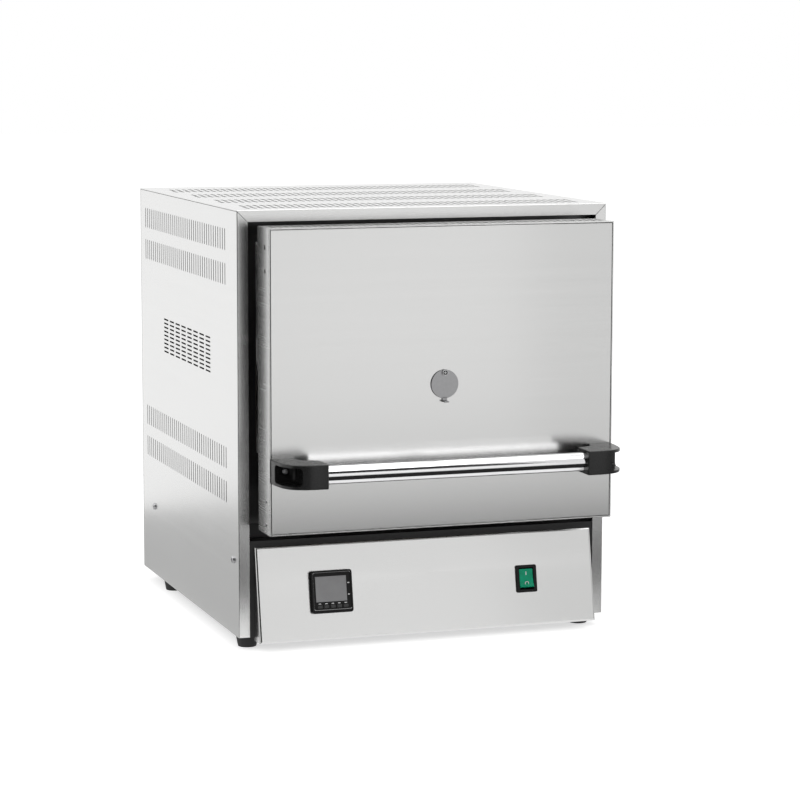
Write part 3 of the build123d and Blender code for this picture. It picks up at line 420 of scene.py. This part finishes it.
# ---------------------------------------------------------------- rear panel
# A flat stainless sheet screwed on the folded edges of the sides closes the back.
# It has one band of upright vents under the top edge, and the hole of the cord gland.
gland_low, gland_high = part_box("cable_gland")
gland_x, gland_z = (gland_low.x + gland_high.x) / 2, (gland_low.z + gland_high.z) / 2
rear_low, rear_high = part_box("rear_panel")
rear_sheet = slab("rear_sheet", rear_low, rear_high)
modify(rear_sheet, "BEVEL", width=0.0002, segments=2)
band_z = casing_top - 0.037 - vent_length / 2
punch(rear_sheet, slots(
    (-0.1624 - vent_width / 2, rear_low.y - 0.002, band_z - vent_length / 2),
    (-0.1624 + vent_width / 2, rear_high.y + 0.002, band_z + vent_length / 2),
    1,
    ((34, (vent_pitch, 0, 0)),),
))
bpy.ops.object.select_all(action="DESELECT")
bpy.ops.mesh.primitive_cylinder_add(
    vertices=48,
    radius=0.007,
    depth=0.01,
    location=(gland_x, rear_high.y, gland_z),
    rotation=(pi / 2, 0, 0),
)
punch(rear_sheet, settle("gland_tool"))
flat_shaded(rear_sheet)
hand_over(rear_sheet, top_steel, "cabinet", "stainless_brushed", "rear_panel")

# ---------------------------------------------------------------- casing screws
# Zinc-plated pan heads hold the sides to the tray and the rear panel to the sides.
# Each has a crossed recess and a slightly domed top.
def zinc(name, tone=0.62, rough=0.24):
    """Bright zinc plate with faint cloudy patches and fine pits."""
    plate = Tree(bpy.data.materials.new(name))
    place = plate.node("ShaderNodeTexCoord", {}, {}, "Object")
    cloud = plate.node("ShaderNodeTexNoise", {}, {"Vector": place, "Scale": 260.0, "Detail": 3.0})
    pits = plate.node("ShaderNodeTexNoise", {}, {"Vector": place, "Scale": 2600.0, "Detail": 2.0})
    shade = cloud * 0.12 + (tone - 0.06)
    colour = plate.node("ShaderNodeCombineColor", {}, {0: shade, 1: shade, 2: shade * 1.015})
    bump = plate.node(
        "ShaderNodeBump", {}, {"Strength": 0.15, "Distance": 0.00005, "Height": pits}
    )
    surface = plate.node("ShaderNodeBsdfPrincipled", {}, {
        "Base Color": colour,
        "Metallic": 1.0,
        "Roughness": cloud * 0.14 + pits * 0.06 + (rough - 0.10),
        "Normal": bump,
    })
    plate.node("ShaderNodeOutputMaterial", {}, {"Surface": surface})
    return plate.owner


def pan_head(name, place, outward, radius, height, recess=True):
    """A domed screw head seated at a place and facing outward, with a crossed recess."""
    bpy.ops.object.select_all(action="DESELECT")
    bpy.ops.mesh.primitive_cylinder_add(
        vertices=32, radius=radius, depth=height, location=(0, 0, height / 2)
    )
    piece = settle(name)
    pick(piece, "edges", lambda middle, edge: middle.z > height * 0.9 and not parallel(edge, 2))
    bpy.ops.mesh.bevel(offset=height * 0.55, segments=4, affect="EDGES")
    close()
    if recess:
        half, across = radius * 0.56, radius * 0.13
        cross = slab("cross_tool", (-half, -across, height * 0.45), (half, across, height * 1.2))
        cross.select_set(True)
        bpy.ops.object.duplicate()
        bpy.context.object.rotation_euler.z = pi / 2
        other = settle("cross_bar_tool")
        modify(cross, "BOOLEAN", object=other, operation="UNION", solver="EXACT")
        bpy.data.objects.remove(other)
        punch(piece, cross)
    bpy.ops.object.select_all(action="DESELECT")
    piece.select_set(True)
    bpy.context.view_layer.objects.active = piece
    piece.rotation_euler = Vector(outward).to_track_quat("Z", "Y").to_euler()
    piece.location = place
    settle(name)
    flat_shaded(piece, 40)
    return piece


def joined(name, pieces):
    """Several solids as one piece."""
    bpy.ops.object.select_all(action="DESELECT")
    for piece in pieces:
        piece.select_set(True)
    bpy.context.view_layer.objects.active = pieces[0]
    bpy.ops.object.join()
    return settle(name)


zinc_plate = zinc("zinc_plate")
heads = []
for side in (-1, 1):
    for y in (front_y + 0.020, front_y + 0.389):
        place = (side * outer_x, y, casing_bottom + 0.086)
        heads.append(pan_head("head", place, (side, 0, 0), 0.0042, 0.0024))
    for z in (casing_bottom + 0.030, casing_top - 0.030):
        heads.append(pan_head(
            "head", (side * (outer_x - flange / 2), rear_high.y, z), (0, 1, 0), 0.0042, 0.0024
        ))
screws = joined("panel_screws", heads)
hand_over(screws, zinc_plate, "cabinet", "steel_zinc", "casing_screws")

# ---------------------------------------------------------------- front plate, tray, deck and feet
# The shell and the door's liner are plain cold-rolled stainless sheet. The recessed front plate is
# stainless too, but it is given a near-black tone: painted shade for the dark gap round the door.
# The tray and the deck are black enamelled steel, and the tray stands on tapered rubber feet.
plain_steel = brushed_steel("plain_steel", (120, 900, 14), tone=0.55, rough=0.36)
for name in ("door_liner", "inner_shell"):
    dress(name, plain_steel)
# the front plate's near-black tone is painted shade, not the colour of its steel
dress("front_plate", brushed_steel("shade_darkened_steel", (120, 900, 14), tone=0.10, rough=0.40))


def moulded(name, tone, rough, grain=1800.0, depth=0.3, tint=(1.0, 1.0, 1.0), shine=0.5):
    """Matte or satin surface with a fine pebbled grain and faint cloudy wear."""
    skin = Tree(bpy.data.materials.new(name))
    place = skin.node("ShaderNodeTexCoord", {}, {}, "Object")
    pebble = skin.node("ShaderNodeTexNoise", {}, {"Vector": place, "Scale": grain, "Detail": 2.0})
    cloud = skin.node("ShaderNodeTexNoise", {}, {"Vector": place, "Scale": 45.0, "Detail": 4.0})
    shade = (cloud * 0.35 + pebble * 0.15 + 0.75) * tone
    colour = skin.node("ShaderNodeCombineColor", {}, {
        0: shade * tint[0], 1: shade * tint[1], 2: shade * tint[2]
    })
    bump = skin.node("ShaderNodeBump", {}, {"Strength": depth, "Distance": 0.00006, "Height": pebble})
    surface = skin.node("ShaderNodeBsdfPrincipled", {}, {
        "Base Color": colour,
        "Roughness": cloud * 0.16 + pebble * 0.08 + (rough - 0.12),
        "Specular IOR Level": shine,
        "Normal": bump,
    })
    skin.node("ShaderNodeOutputMaterial", {}, {"Surface": surface})
    return skin.owner


enamel = moulded("black_enamel", 0.016, 0.42, grain=900.0, depth=0.2)
dress("base_tray", enamel)
dress("deck_plate", enamel)

rubber = moulded("foot_rubber", 0.022, 0.72)
feet = []
foot_radius = 0.0135
foot_low, foot_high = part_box("rubber_feet")
for x in (foot_low.x + foot_radius, foot_high.x - foot_radius):
    for y in (foot_low.y + foot_radius, foot_high.y - foot_radius):
        bpy.ops.object.select_all(action="DESELECT")
        bpy.ops.mesh.primitive_cone_add(
            vertices=48,
            radius1=0.0105,
            radius2=foot_radius,
            depth=foot_high.z,
            location=(x, y, foot_high.z / 2),
        )
        foot = settle("foot")
        pick(foot, "faces", lambda middle, face: face.normal.z < -0.5)
        bpy.ops.mesh.inset(thickness=0.0045)
        bpy.ops.mesh.extrude_region_move(TRANSFORM_OT_translate={"value": (0, 0, 0.004)})
        close()
        modify(foot, "BEVEL", width=0.0008, segments=3, limit_method="ANGLE", angle_limit=radians(40))
        flat_shaded(foot, 40)
        feet.append(foot)
hand_over(joined("feet", feet), rubber, "cabinet", "rubber_black", "rubber_feet")

# ---------------------------------------------------------------- chamber
# Vacuum-formed ceramic fibre boards line the shell, and a dense ceramic plate lies on the floor.
# The boards are off-white and matte, with fine fibres and a faint warm bloom from use.
def fibre(name, tone=(0.83, 0.80, 0.74), hot=(0.74, 0.66, 0.56)):
    """Matte fibre board: clumped fibres, small pits and a warm discoloured bloom."""
    board = Tree(bpy.data.materials.new(name))
    place = board.node("ShaderNodeTexCoord", {}, {}, "Object")
    strands = board.node(
        "ShaderNodeTexNoise", {}, {"Vector": place, "Scale": 420.0, "Detail": 6.0, "Distortion": 1.6}
    )
    pits = board.node(
        "ShaderNodeTexVoronoi", {"feature": "F1"}, {"Vector": place, "Scale": 260.0}, "Distance"
    )
    bloom = board.node("ShaderNodeTexNoise", {}, {"Vector": place, "Scale": 9.0, "Detail": 4.0})
    warm = board.node("ShaderNodeMapRange", {}, {
        "Value": bloom, "From Min": 0.42, "From Max": 0.75, "To Max": 0.8
    })
    base = board.node("ShaderNodeMix", {"data_type": "RGBA"}, {
        "Factor": warm, 6: (*tone, 1), 7: (*hot, 1)
    }, 2)
    fleck = board.node("ShaderNodeMix", {"data_type": "RGBA", "blend_type": "MULTIPLY"}, {
        "Factor": strands * 0.45, 6: base, 7: (0.86, 0.83, 0.78, 1)
    }, 2)
    bump = board.node("ShaderNodeBump", {}, {
        "Strength": 0.55, "Distance": 0.0004, "Height": strands * 0.7 + pits * 0.5
    })
    surface = board.node("ShaderNodeBsdfPrincipled", {}, {
        "Base Color": fleck, "Roughness": 0.9 - strands * 0.1, "Specular IOR Level": 0.2, "Normal": bump
    })
    board.node("ShaderNodeOutputMaterial", {}, {"Surface": surface})
    return board.owner


board_white = fibre("fibre_board")
for name in ("floor_board", "roof_board", "rear_board", "left_heater_board", "right_heater_board"):
    dress(name, board_white)
for name in ("door_fibre_block", "door_plug"):
    dress(name, board_white)
# the door blanket is given a dark brown tone: painted shade that makes the slots in the door's side walls
# look deep
dress("door_blanket", fibre("shade_darkened_wool", (0.16, 0.14, 0.11), (0.12, 0.10, 0.08)))
dense = fibre("dense_ceramic", (0.70, 0.62, 0.52), (0.56, 0.46, 0.37))
for name in ("hearth_plate", "sight_tube", "element_terminals", "thermocouple"):
    dress(name, dense)

# ---------------------------------------------------------------- heating coils
# Each side board holds one long helix of resistance wire, in four level runs joined end to end.
# The wire is oxidised to a dull grey-brown.
wire = moulded("heater_wire", 0.10, 0.62, grain=3000.0, tint=(1.0, 0.86, 0.74))
wire_turns, turn_points, wire_radius = 64, 10, 0.00075
for side, hand in ((-1, "left"), (1, "right")):
    coil_low, coil_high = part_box(f"{hand}_heating_coil")
    axis_x = (coil_low.x + coil_high.x) / 2
    helix_radius = (coil_high.x - coil_low.x) / 2 - wire_radius - 0.0002
    run_y = (coil_low.y + 0.002, coil_high.y - 0.002)
    lowest, highest = coil_low.z + 0.0052, coil_high.z - 0.0052
    gap = (highest - lowest) / 3
    path = []
    for run in range(4):
        begin_y, end_y = run_y if run % 2 == 0 else run_y[::-1]
        for step in range(wire_turns * turn_points + 1):
            share = step / (wire_turns * turn_points)
            angle = 2 * pi * step / turn_points
            path.append((
                axis_x + helix_radius * cos(angle),
                begin_y + (end_y - begin_y) * share,
                lowest + gap * run + helix_radius * sin(angle),
            ))
    strand = bpy.data.curves.new(f"{hand}_coil", "CURVE")
    strand.dimensions = "3D"
    strand.bevel_depth = wire_radius
    strand.bevel_resolution = 1
    line = strand.splines.new("POLY")
    line.points.add(len(path) - 1)
    for point, place in zip(line.points, path):
        point.co = (*place, 1)
    coil = bpy.data.objects.new(f"{hand}_coil", strand)
    bpy.context.scene.collection.objects.link(coil)
    bpy.ops.object.select_all(action="DESELECT")
    coil.select_set(True)
    bpy.context.view_layer.objects.active = coil
    bpy.ops.object.convert(target="MESH")
    coil = settle(f"{hand}_coil")
    for polygon in coil.data.polygons:
        polygon.use_smooth = True
    hand_over(coil, wire, "cabinet", "heater_wire", f"{hand}_heating_coil")

# ---------------------------------------------------------------- lift arms and their pivots
# Two equal steel arms on each side swing up with the door and keep it upright.
# They turn on studs and pins under plated nuts and rivet heads.
arm_steel = zinc("arm_steel", 0.5, 0.34)
for name in (
    "left_lift_arm", "right_lift_arm", "left_guide_arm", "right_guide_arm",
    "door_ears", "pivot_plates", "shell_rails",
):
    dress(name, arm_steel)
for name in ("pivot_studs", "pivot_cap_nuts", "door_pivot_pins"):
    dress(name, zinc_plate)

# ---------------------------------------------------------------- door
# A folded frame with a shallow front pan set into it, parted from it by a thin dark seam.
# The top wall has a row of vents, and each side wall two small slots and two rivets.
door_steel = brushed_steel("door_steel", (12, 1500, 1500), tone=0.71, rough=0.20, drawn_out=0.4)
door_side_steel = brushed_steel(
    "door_side_steel", (1500, 12, 1500), tone=0.78, rough=0.26, drawn_out=0.4
)
door_low, door_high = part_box("door_frame")
wall = 0.0015
door_rim = slab("door_rim", door_low, door_high)
pick(door_rim, "faces", lambda middle, face: abs(face.normal.y) > 0.5)
bpy.ops.mesh.delete(type="FACE")
close()
modify(door_rim, "SOLIDIFY", thickness=wall, offset=-1, use_even_offset=True)
modify(door_rim, "BEVEL", width=0.0005, segments=2, limit_method="ANGLE", angle_limit=radians(40))
vent_y = (door_low.y + door_high.y) / 2
punch(door_rim, slots(
    (-0.192 - vent_width / 2, vent_y - vent_length * 0.4, door_high.z - 0.004),
    (-0.192 + vent_width / 2, vent_y + vent_length * 0.4, door_high.z + 0.002),
    2,
    ((49, (0.008, 0, 0)),),
))
for side in (-1, 1):
    for drop in (0.0213, 0.0478):
        middle_z = door_high.z - drop
        punch(door_rim, slots(
            (side * door_high.x - 0.003, door_low.y + 0.0130, middle_z - 0.00275),
            (side * door_high.x + 0.003, door_low.y + 0.0172, middle_z + 0.00275),
            0,
            (),
            0.0012,
        ))
flat_shaded(door_rim)
hand_over(door_rim, door_side_steel, "door", "stainless_brushed", "door_frame")

pan_low, pan_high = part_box("door_front_sheet")
door_pan = slab("door_pan", pan_low, pan_high)
pick(door_pan, "faces", lambda middle, face: face.normal.y > 0.5)
bpy.ops.mesh.delete(type="FACE")
close()
pick(door_pan, "edges", lambda middle, edge: middle.y < pan_low.y + 0.0001)
bpy.ops.mesh.bevel(offset=0.0008, segments=3, affect="EDGES")
close()
modify(door_pan, "SOLIDIFY", thickness=wall, offset=-1)
sight_z = (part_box("sight_tube")[0].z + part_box("sight_tube")[1].z) / 2
bpy.ops.object.select_all(action="DESELECT")
bpy.ops.mesh.primitive_cylinder_add(
    vertices=96, radius=0.010, depth=0.02, location=(0, pan_low.y, sight_z), rotation=(pi / 2, 0, 0)
)
punch(door_pan, settle("sight_tool"))
flat_shaded(door_pan)
hand_over(door_pan, door_steel, "door", "stainless_brushed", "door_front_sheet")
dress("door_rivets", zinc_plate)

# ---------------------------------------------------------------- sight-hole cover
# A round steel flap hangs from one screw near its rim, and swings aside by its small bent tab.
# It is plated, so its face shows faint clouds and no grain.
cover_low, cover_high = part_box("peephole_cover")
cover_steel = zinc("cover_steel", 0.40, 0.33)
bpy.ops.object.select_all(action="DESELECT")
bpy.ops.mesh.primitive_cylinder_add(
    vertices=96,
    radius=0.016,
    depth=0.0015,
    location=(0, cover_high.y - 0.00075, sight_z),
    rotation=(pi / 2, 0, 0),
)
flap = settle("flap")
modify(flap, "BEVEL", width=0.0003, segments=2, limit_method="ANGLE", angle_limit=radians(40))
tab_half = 0.00275
stem = slab(
    "stem",
    (-tab_half, cover_high.y - 0.0015, sight_z - 0.0200),
    (tab_half, cover_high.y, sight_z - 0.0150),
)
finger = slab(
    "finger", (-tab_half, cover_low.y, cover_low.z), (tab_half, cover_high.y, cover_low.z + 0.0015)
)
modify(finger, "BEVEL", width=0.0004, segments=2)
flat_shaded(flap, 40)
flap = joined("cover_flap", [flap, stem, finger])
hand_over(flap, cover_steel, "peephole_cover", "cover_steel", "peephole_cover")
pin_low, pin_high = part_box("cover_pivot_screw")
pin_z = (pin_low.z + pin_high.z) / 2
pin = pan_head("cover_pin", (0, pin_low.y + 0.0016, pin_z), (0, -1, 0), 0.0034, 0.0016)
hand_over(pin, zinc_plate, "door", "steel_zinc")

# ---------------------------------------------------------------- handle
# A polished steel tube is held between two moulded black brackets.
# Each bracket is a curved beam: two thin flanges, and a web between them that hides the screws.
chrome = Tree(bpy.data.materials.new("polished_tube"))
place = chrome.node("ShaderNodeTexCoord", {}, {}, "Object")
smear = chrome.node("ShaderNodeTexNoise", {}, {"Vector": place, "Scale": 30.0, "Detail": 4.0})
ring = chrome.node("ShaderNodeVectorMath", {"operation": "MULTIPLY"}, {0: place, 1: (2200, 60, 60)})
turned = chrome.node("ShaderNodeTexNoise", {}, {"Vector": ring, "Scale": 1.0, "Detail": 2.0})
bright = smear * 0.05 + 0.80
chrome.node("ShaderNodeOutputMaterial", {}, {
    "Surface": chrome.node("ShaderNodeBsdfPrincipled", {}, {
        "Base Color": chrome.node("ShaderNodeCombineColor", {}, {0: bright, 1: bright, 2: bright * 1.01}),
        "Metallic": 1.0,
        "Roughness": smear * 0.05 + turned * 0.03 + 0.045,
    })
})
tube_low, tube_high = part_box("handle_tube")
tube_y, handle_z = (tube_low.y + tube_high.y) / 2, (tube_low.z + tube_high.z) / 2
bpy.ops.object.select_all(action="DESELECT")
bpy.ops.mesh.primitive_cylinder_add(
    vertices=128,
    radius=(tube_high.z - tube_low.z) / 2,
    depth=tube_high.x - tube_low.x,
    end_fill_type="NOTHING",
    location=(0, tube_y, handle_z),
    rotation=(0, pi / 2, 0),
)
tube = settle("tube")
modify(tube, "SOLIDIFY", thickness=0.0015, offset=-1)
flat_shaded(tube, 40)
hand_over(tube, chrome.owner, "door", "chrome_tube", "handle_tube")

bracket_black = moulded("bracket_plastic", 0.008, 0.27, grain=2400.0, depth=0.2, shine=0.45)
bracket_low, bracket_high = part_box("right_handle_bracket")


def plan_solid(name, outline, low, high, rounding):
    """A flat curve drawn in plan from (x, y) points, thickened between two heights, edges rounded."""
    plan = bpy.data.curves.new(name, "CURVE")
    plan.dimensions = "2D"
    plan.fill_mode = "BOTH"
    plan.resolution_u = 8
    plan.extrude = (high - low) / 2 - rounding
    plan.bevel_depth = rounding
    plan.bevel_resolution = 3
    plan.offset = -rounding
    path = plan.splines.new("BEZIER")
    path.bezier_points.add(len(outline) - 1)
    for point, (x, y, kind) in zip(path.bezier_points, outline):
        point.co = (x, y, 0)
        point.handle_left_type = point.handle_right_type = kind
    path.use_cyclic_u = True
    piece = bpy.data.objects.new(name, plan)
    piece.location.z = (low + high) / 2
    bpy.context.scene.collection.objects.link(piece)
    bpy.ops.object.select_all(action="DESELECT")
    piece.select_set(True)
    bpy.context.view_layer.objects.active = piece
    bpy.ops.object.convert(target="MESH")
    return settle(name)


door_face = door_low.y
seats = []
for side, hand in ((-1, "left"), (1, "right")):
    outline = (
        (0.1745, 0, "VECTOR"), (0.2010, 0, "VECTOR"), (0.2000, 0.018, "AUTO"), (0.1945, 0.041, "AUTO"),
        (0.1830, 0.0515, "AUTO"), (0.1520, 0.0556, "VECTOR"), (0.1511, 0.0540, "VECTOR"),
        (0.1511, 0.0225, "VECTOR"), (0.1540, 0.0208, "AUTO"), (0.1685, 0.0140, "AUTO"),
    )
    hollow = (
        (0.2150, 0.0180, "VECTOR"), (0.1900, 0.0120, "VECTOR"), (0.1795, 0.0130, "AUTO"),
        (0.1760, 0.0220, "AUTO"), (0.1765, 0.0400, "AUTO"), (0.1800, 0.0530, "VECTOR"),
        (0.1860, 0.0700, "VECTOR"), (0.2150, 0.0700, "VECTOR"),
    )
    bracket, pocket = (
        plan_solid(name, [(side * x, door_face - y, kind) for x, y, kind in plan], low, high, rounding)
        for name, plan, low, high, rounding in (
            (f"{hand}_bracket", outline, bracket_low.z, bracket_high.z, 0.0013),
            ("pocket_tool", hollow, bracket_low.z + 0.0034, bracket_high.z - 0.0034, 0.0045),
        )
    )
    for piece in (bracket, pocket):
        pick(piece, "faces", lambda middle, face: True)
        bpy.ops.mesh.remove_doubles(threshold=0.000001)
        bpy.ops.mesh.normals_make_consistent(inside=False)
        close()
    punch(bracket, pocket)
    flat_shaded(bracket, 35)
    hand_over(bracket, bracket_black, "door", "plastic_black", f"{hand}_handle_bracket")
    seat = (side * 0.1885, door_face - 0.0135, handle_z + 0.002)
    seats.append(pan_head("seat", seat, (0, -1, 0), 0.0034, 0.0022))
screws = joined("bracket_screws", seats)
black_steel = zinc("black_steel", 0.36, 0.28)
hand_over(screws, black_steel, "door", "steel_zinc", "handle_screws")

# ---------------------------------------------------------------- control panel
# A folded stainless box under the door, its front leaning back, with rounded bends all round.
# It carries the temperature controller on the left and the power switch on the right.
panel_steel = brushed_steel("panel_steel", (12, 1500, 1500), tone=0.73, rough=0.20, drawn_out=0.4)
dress("control_panel", panel_steel)
slope = radians(10.7507)
panel_middle = Vector((0, -0.1897, 0.0655))


def onto_panel(piece):
    """Leans a piece drawn upright about the origin back onto the face of the panel."""
    bpy.ops.object.select_all(action="DESELECT")
    piece.select_set(True)
    bpy.context.view_layer.objects.active = piece
    piece.rotation_euler = (-slope, 0, 0)
    piece.location = panel_middle
    return settle(piece.name)


# ---------------------------------------------------------------- temperature controller
# A square panel instrument: a black moulded bezel round a tinted window, and five keys below it.
# Small white marks are printed above the keys and beside the window.
gloss_black = moulded("bezel_plastic", 0.007, 0.32, grain=3200.0, depth=0.12, shine=0.2)
control_x, half, key_pitch = -0.1165, 0.024, 0.0076
key_columns = [control_x + (number - 2) * key_pitch for number in range(5)]
bezel = slab("bezel", (control_x - half, -0.0060, -half), (control_x + half, 0, half))
pick(bezel, "edges", lambda middle, edge: parallel(edge, 1))
bpy.ops.mesh.bevel(offset=0.003, segments=6, affect="EDGES")
close()
pick(bezel, "faces", lambda middle, face: face.normal.y < -0.9)
bpy.ops.mesh.inset(thickness=0.0022)
bpy.ops.mesh.extrude_region_move(TRANSFORM_OT_translate={"value": (0, 0.0007, 0)})
close()
modify(bezel, "BEVEL", width=0.0004, segments=3, limit_method="ANGLE", angle_limit=radians(50))
punch(bezel, slab(
    "window_tool", (control_x - 0.0195, -0.008, -0.0114), (control_x + 0.0174, -0.0040, 0.0176)
))
for key_x in key_columns:
    punch(bezel, slab(
        "key_tool", (key_x - 0.00305, -0.01, -0.01845), (key_x + 0.00305, 0.001, -0.01435)
    ))
flat_shaded(bezel, 30)
onto_panel(bezel)
hand_over(bezel, gloss_black, "cabinet", "plastic_black", "controller_bezel")
dress("controller_case", gloss_black)

display = Tree(bpy.data.materials.new("display"))
place = display.node("ShaderNodeTexCoord", {}, {}, "Object")
mist = display.node("ShaderNodeTexNoise", {}, {"Vector": place, "Scale": 60.0, "Detail": 3.0})
dots = display.node("ShaderNodeTexNoise", {}, {"Vector": place, "Scale": 3500.0, "Detail": 1.0})
grey = mist * 0.05 + dots * 0.03 + 0.13
display.node("ShaderNodeOutputMaterial", {}, {
    "Surface": display.node("ShaderNodeBsdfPrincipled", {}, {
        "Base Color": display.node("ShaderNodeCombineColor", {}, {0: grey, 1: grey, 2: grey * 1.02}),
        "Roughness": mist * 0.08 + 0.12,
        "Coat Weight": 0.6,
    })
})
glass = slab("glass", (control_x - 0.0193, -0.0055, -0.0112), (control_x + 0.0172, -0.0040, 0.0174))
modify(glass, "BEVEL", width=0.0003, segments=2)
onto_panel(glass)
hand_over(glass, display.owner, "cabinet", "window_glass", "controller_window")

key_black = moulded("key_plastic", 0.035, 0.5, grain=3600.0)
print_white = moulded("print_white", 0.72, 0.5, grain=5000.0, depth=0.05)
for number, key_x in enumerate(key_columns, 1):
    key = slab(
        f"key_{number}", (key_x - 0.0028, -0.0068, -0.0182), (key_x + 0.0028, -0.0010, -0.0146)
    )
    modify(key, "BEVEL", width=0.0006, segments=3)
    flat_shaded(key, 40)
    onto_panel(key)
    key_node = f"controller_key_{number}"
    hand_over(key, key_black, key_node, "key_plastic", key_node)

marks = []
mark_front, mark_back = -0.00545, -0.0052
for key_x in key_columns:
    marks.append(slab(
        "mark", (key_x - 0.0014, mark_front, -0.0136), (key_x + 0.0014, mark_back, -0.0128)
    ))
for rise in (-0.0045, 0.0085):
    marks.append(slab(
        "mark", (control_x + 0.0184, mark_front, rise), (control_x + 0.0207, mark_back, rise + 0.0009)
    ))
marks = joined("controller_marks", marks)
onto_panel(marks)
hand_over(marks, print_white, "cabinet", "plastic_black")

# a pale ring runs round the face of the bezel: its light grey is a painted highlight, standing for the
# light caught by the bezel's chamfer
highlight_rim, core = (
    slab(name, (control_x - wide, -0.0059, -drop), (control_x + wide + 0.0003, -0.0050, drop + 0.0017))
    for name, wide, drop in (("highlight_rim", 0.0224, 0.0205), ("core_tool", 0.0218, 0.0199))
)
for piece in (highlight_rim, core):
    pick(piece, "edges", lambda middle, edge: parallel(edge, 1))
    bpy.ops.mesh.bevel(offset=0.0022, segments=6, affect="EDGES")
    close()
pick(core, "verts", lambda middle, vert: True)
bpy.ops.transform.resize(value=(1, 3, 1), center_override=(0, -0.0055, 0))
close()
punch(highlight_rim, core)
onto_panel(highlight_rim)
# painted highlight: the ring's light grey stands for light on the bezel's chamfer
highlight_rim_grey = moulded("highlight_rim_plastic", 0.24, 0.30, grain=3200.0, depth=0.1)
hand_over(highlight_rim, highlight_rim_grey, "cabinet", "plastic_black")

# ---------------------------------------------------------------- power switch
# A green rocker tilts in a black snap-in housing. Its upper half is pressed in while it is on.
# The bar and the ring for on and off are printed in white.
switch_x = 0.119
housing = slab("housing", (switch_x - 0.01275, -0.0020, -0.01575), (switch_x + 0.01275, 0.0, 0.01575))
pick(housing, "edges", lambda middle, edge: parallel(edge, 1))
bpy.ops.mesh.bevel(offset=0.002, segments=5, affect="EDGES")
close()
pick(housing, "edges", lambda middle, edge: middle.y < -0.0019)
bpy.ops.mesh.bevel(offset=0.0008, segments=3, affect="EDGES")
close()
body = slab(
    "switch_body", (switch_x - 0.01105, -0.0001, -0.01405), (switch_x + 0.01105, 0.0210, 0.01405)
)
modify(housing, "BOOLEAN", object=body, operation="UNION", solver="EXACT")
bpy.data.objects.remove(body)
punch(housing, slab(
    "mouth_tool", (switch_x - 0.0088, -0.0030, -0.01255), (switch_x + 0.0088, 0.0132, 0.01255)
))
flat_shaded(housing, 30)
onto_panel(housing)
hand_over(housing, gloss_black, "cabinet", "plastic_black", "switch_housing")

green = Tree(bpy.data.materials.new("rocker_green"))
place = green.node("ShaderNodeTexCoord", {}, {}, "Object")
mist = green.node("ShaderNodeTexNoise", {}, {"Vector": place, "Scale": 120.0, "Detail": 3.0})
hue = green.node("ShaderNodeMix", {"data_type": "RGBA"}, {
    "Factor": mist, 6: (0.0, 0.17, 0.085, 1), 7: (0.0, 0.36, 0.19, 1)
}, 2)
green.node("ShaderNodeOutputMaterial", {}, {
    "Surface": green.node("ShaderNodeBsdfPrincipled", {}, {
        "Base Color": hue,
        "Roughness": mist * 0.1 + 0.16,
        "Specular IOR Level": 0.2,
    })
})
# the rocker is drawn from the side, its lower half raised, then thickened along X
dip, face_out = radians(16.0), 0.0012
bpy.ops.object.select_all(action="DESELECT")
bpy.ops.mesh.primitive_plane_add(size=0.001, location=(switch_x, 0, 0))
rocker = settle("rocker")
pick(rocker, "faces", lambda middle, face: True)
bpy.ops.mesh.delete(type="VERT")
profile = bmesh.from_edit_mesh(rocker.data)
profile_points = [(face_out, 0.0112), (face_out - 0.0006, 0.0060), (face_out - 0.0002, 0.0)]
profile_points += [
    (face_out + share * 0.0094 * sin(dip) - 0.0010 * sin(pi * share), -share * 0.0094)
    for share in (0.33, 0.66, 1.0)
]
profile_points += [(-0.0060, -0.0118), (-0.0115, -0.0040), (-0.0115, 0.0040), (-0.0060, 0.0118)]
corners = [profile.verts.new((switch_x - 0.0085, -out, rise)) for out, rise in profile_points]
profile.faces.new(corners)
bmesh.update_edit_mesh(rocker.data)
bpy.ops.mesh.select_all(action="SELECT")
bpy.ops.mesh.extrude_region_move(TRANSFORM_OT_translate={"value": (0.017, 0, 0)})
bpy.ops.mesh.select_all(action="SELECT")
bpy.ops.mesh.normals_make_consistent(inside=False)
close()
modify(rocker, "BEVEL", width=0.0006, segments=3, limit_method="ANGLE", angle_limit=radians(35))
flat_shaded(rocker, 40)
onto_panel(rocker)
hand_over(rocker, green.owner, "power_rocker", "rocker_green", "power_rocker")

bar = slab("on_bar", (switch_x - 0.0004, -0.00085, 0.0040), (switch_x + 0.0004, -0.0004, 0.0082))
bpy.ops.object.select_all(action="DESELECT")
bpy.ops.mesh.primitive_torus_add(
    major_segments=32, minor_segments=8, major_radius=0.0021, minor_radius=0.00038,
    location=(switch_x, -0.00215, -0.0055), rotation=(pi / 2 + dip * 1.25, 0, 0),
)
signs = joined("switch_signs", [bar, settle("off_ring")])
onto_panel(signs)
hand_over(signs, print_white, "power_rocker", "rocker_green")

# ---------------------------------------------------------------- electrics and cord gland
# Behind the panel a finned sink carries the relay, beside the terminal block.
# The nylon gland of the supply cord is screwed into the rear panel.
sink = zinc("sink_aluminium", 0.58, 0.42)
dress("relay_heat_sink", sink)
relay_grey = moulded("relay_plastic", 0.30, 0.5, grain=2600.0)
dress("solid_state_relay", relay_grey)
block_cream = moulded("terminal_plastic", 0.55, 0.45, grain=2600.0, tint=(1.0, 0.97, 0.88))
dress("terminal_block", block_cream)
nylon = moulded("gland_nylon", 0.030, 0.46, grain=2200.0)
dress("cable_gland", nylon)
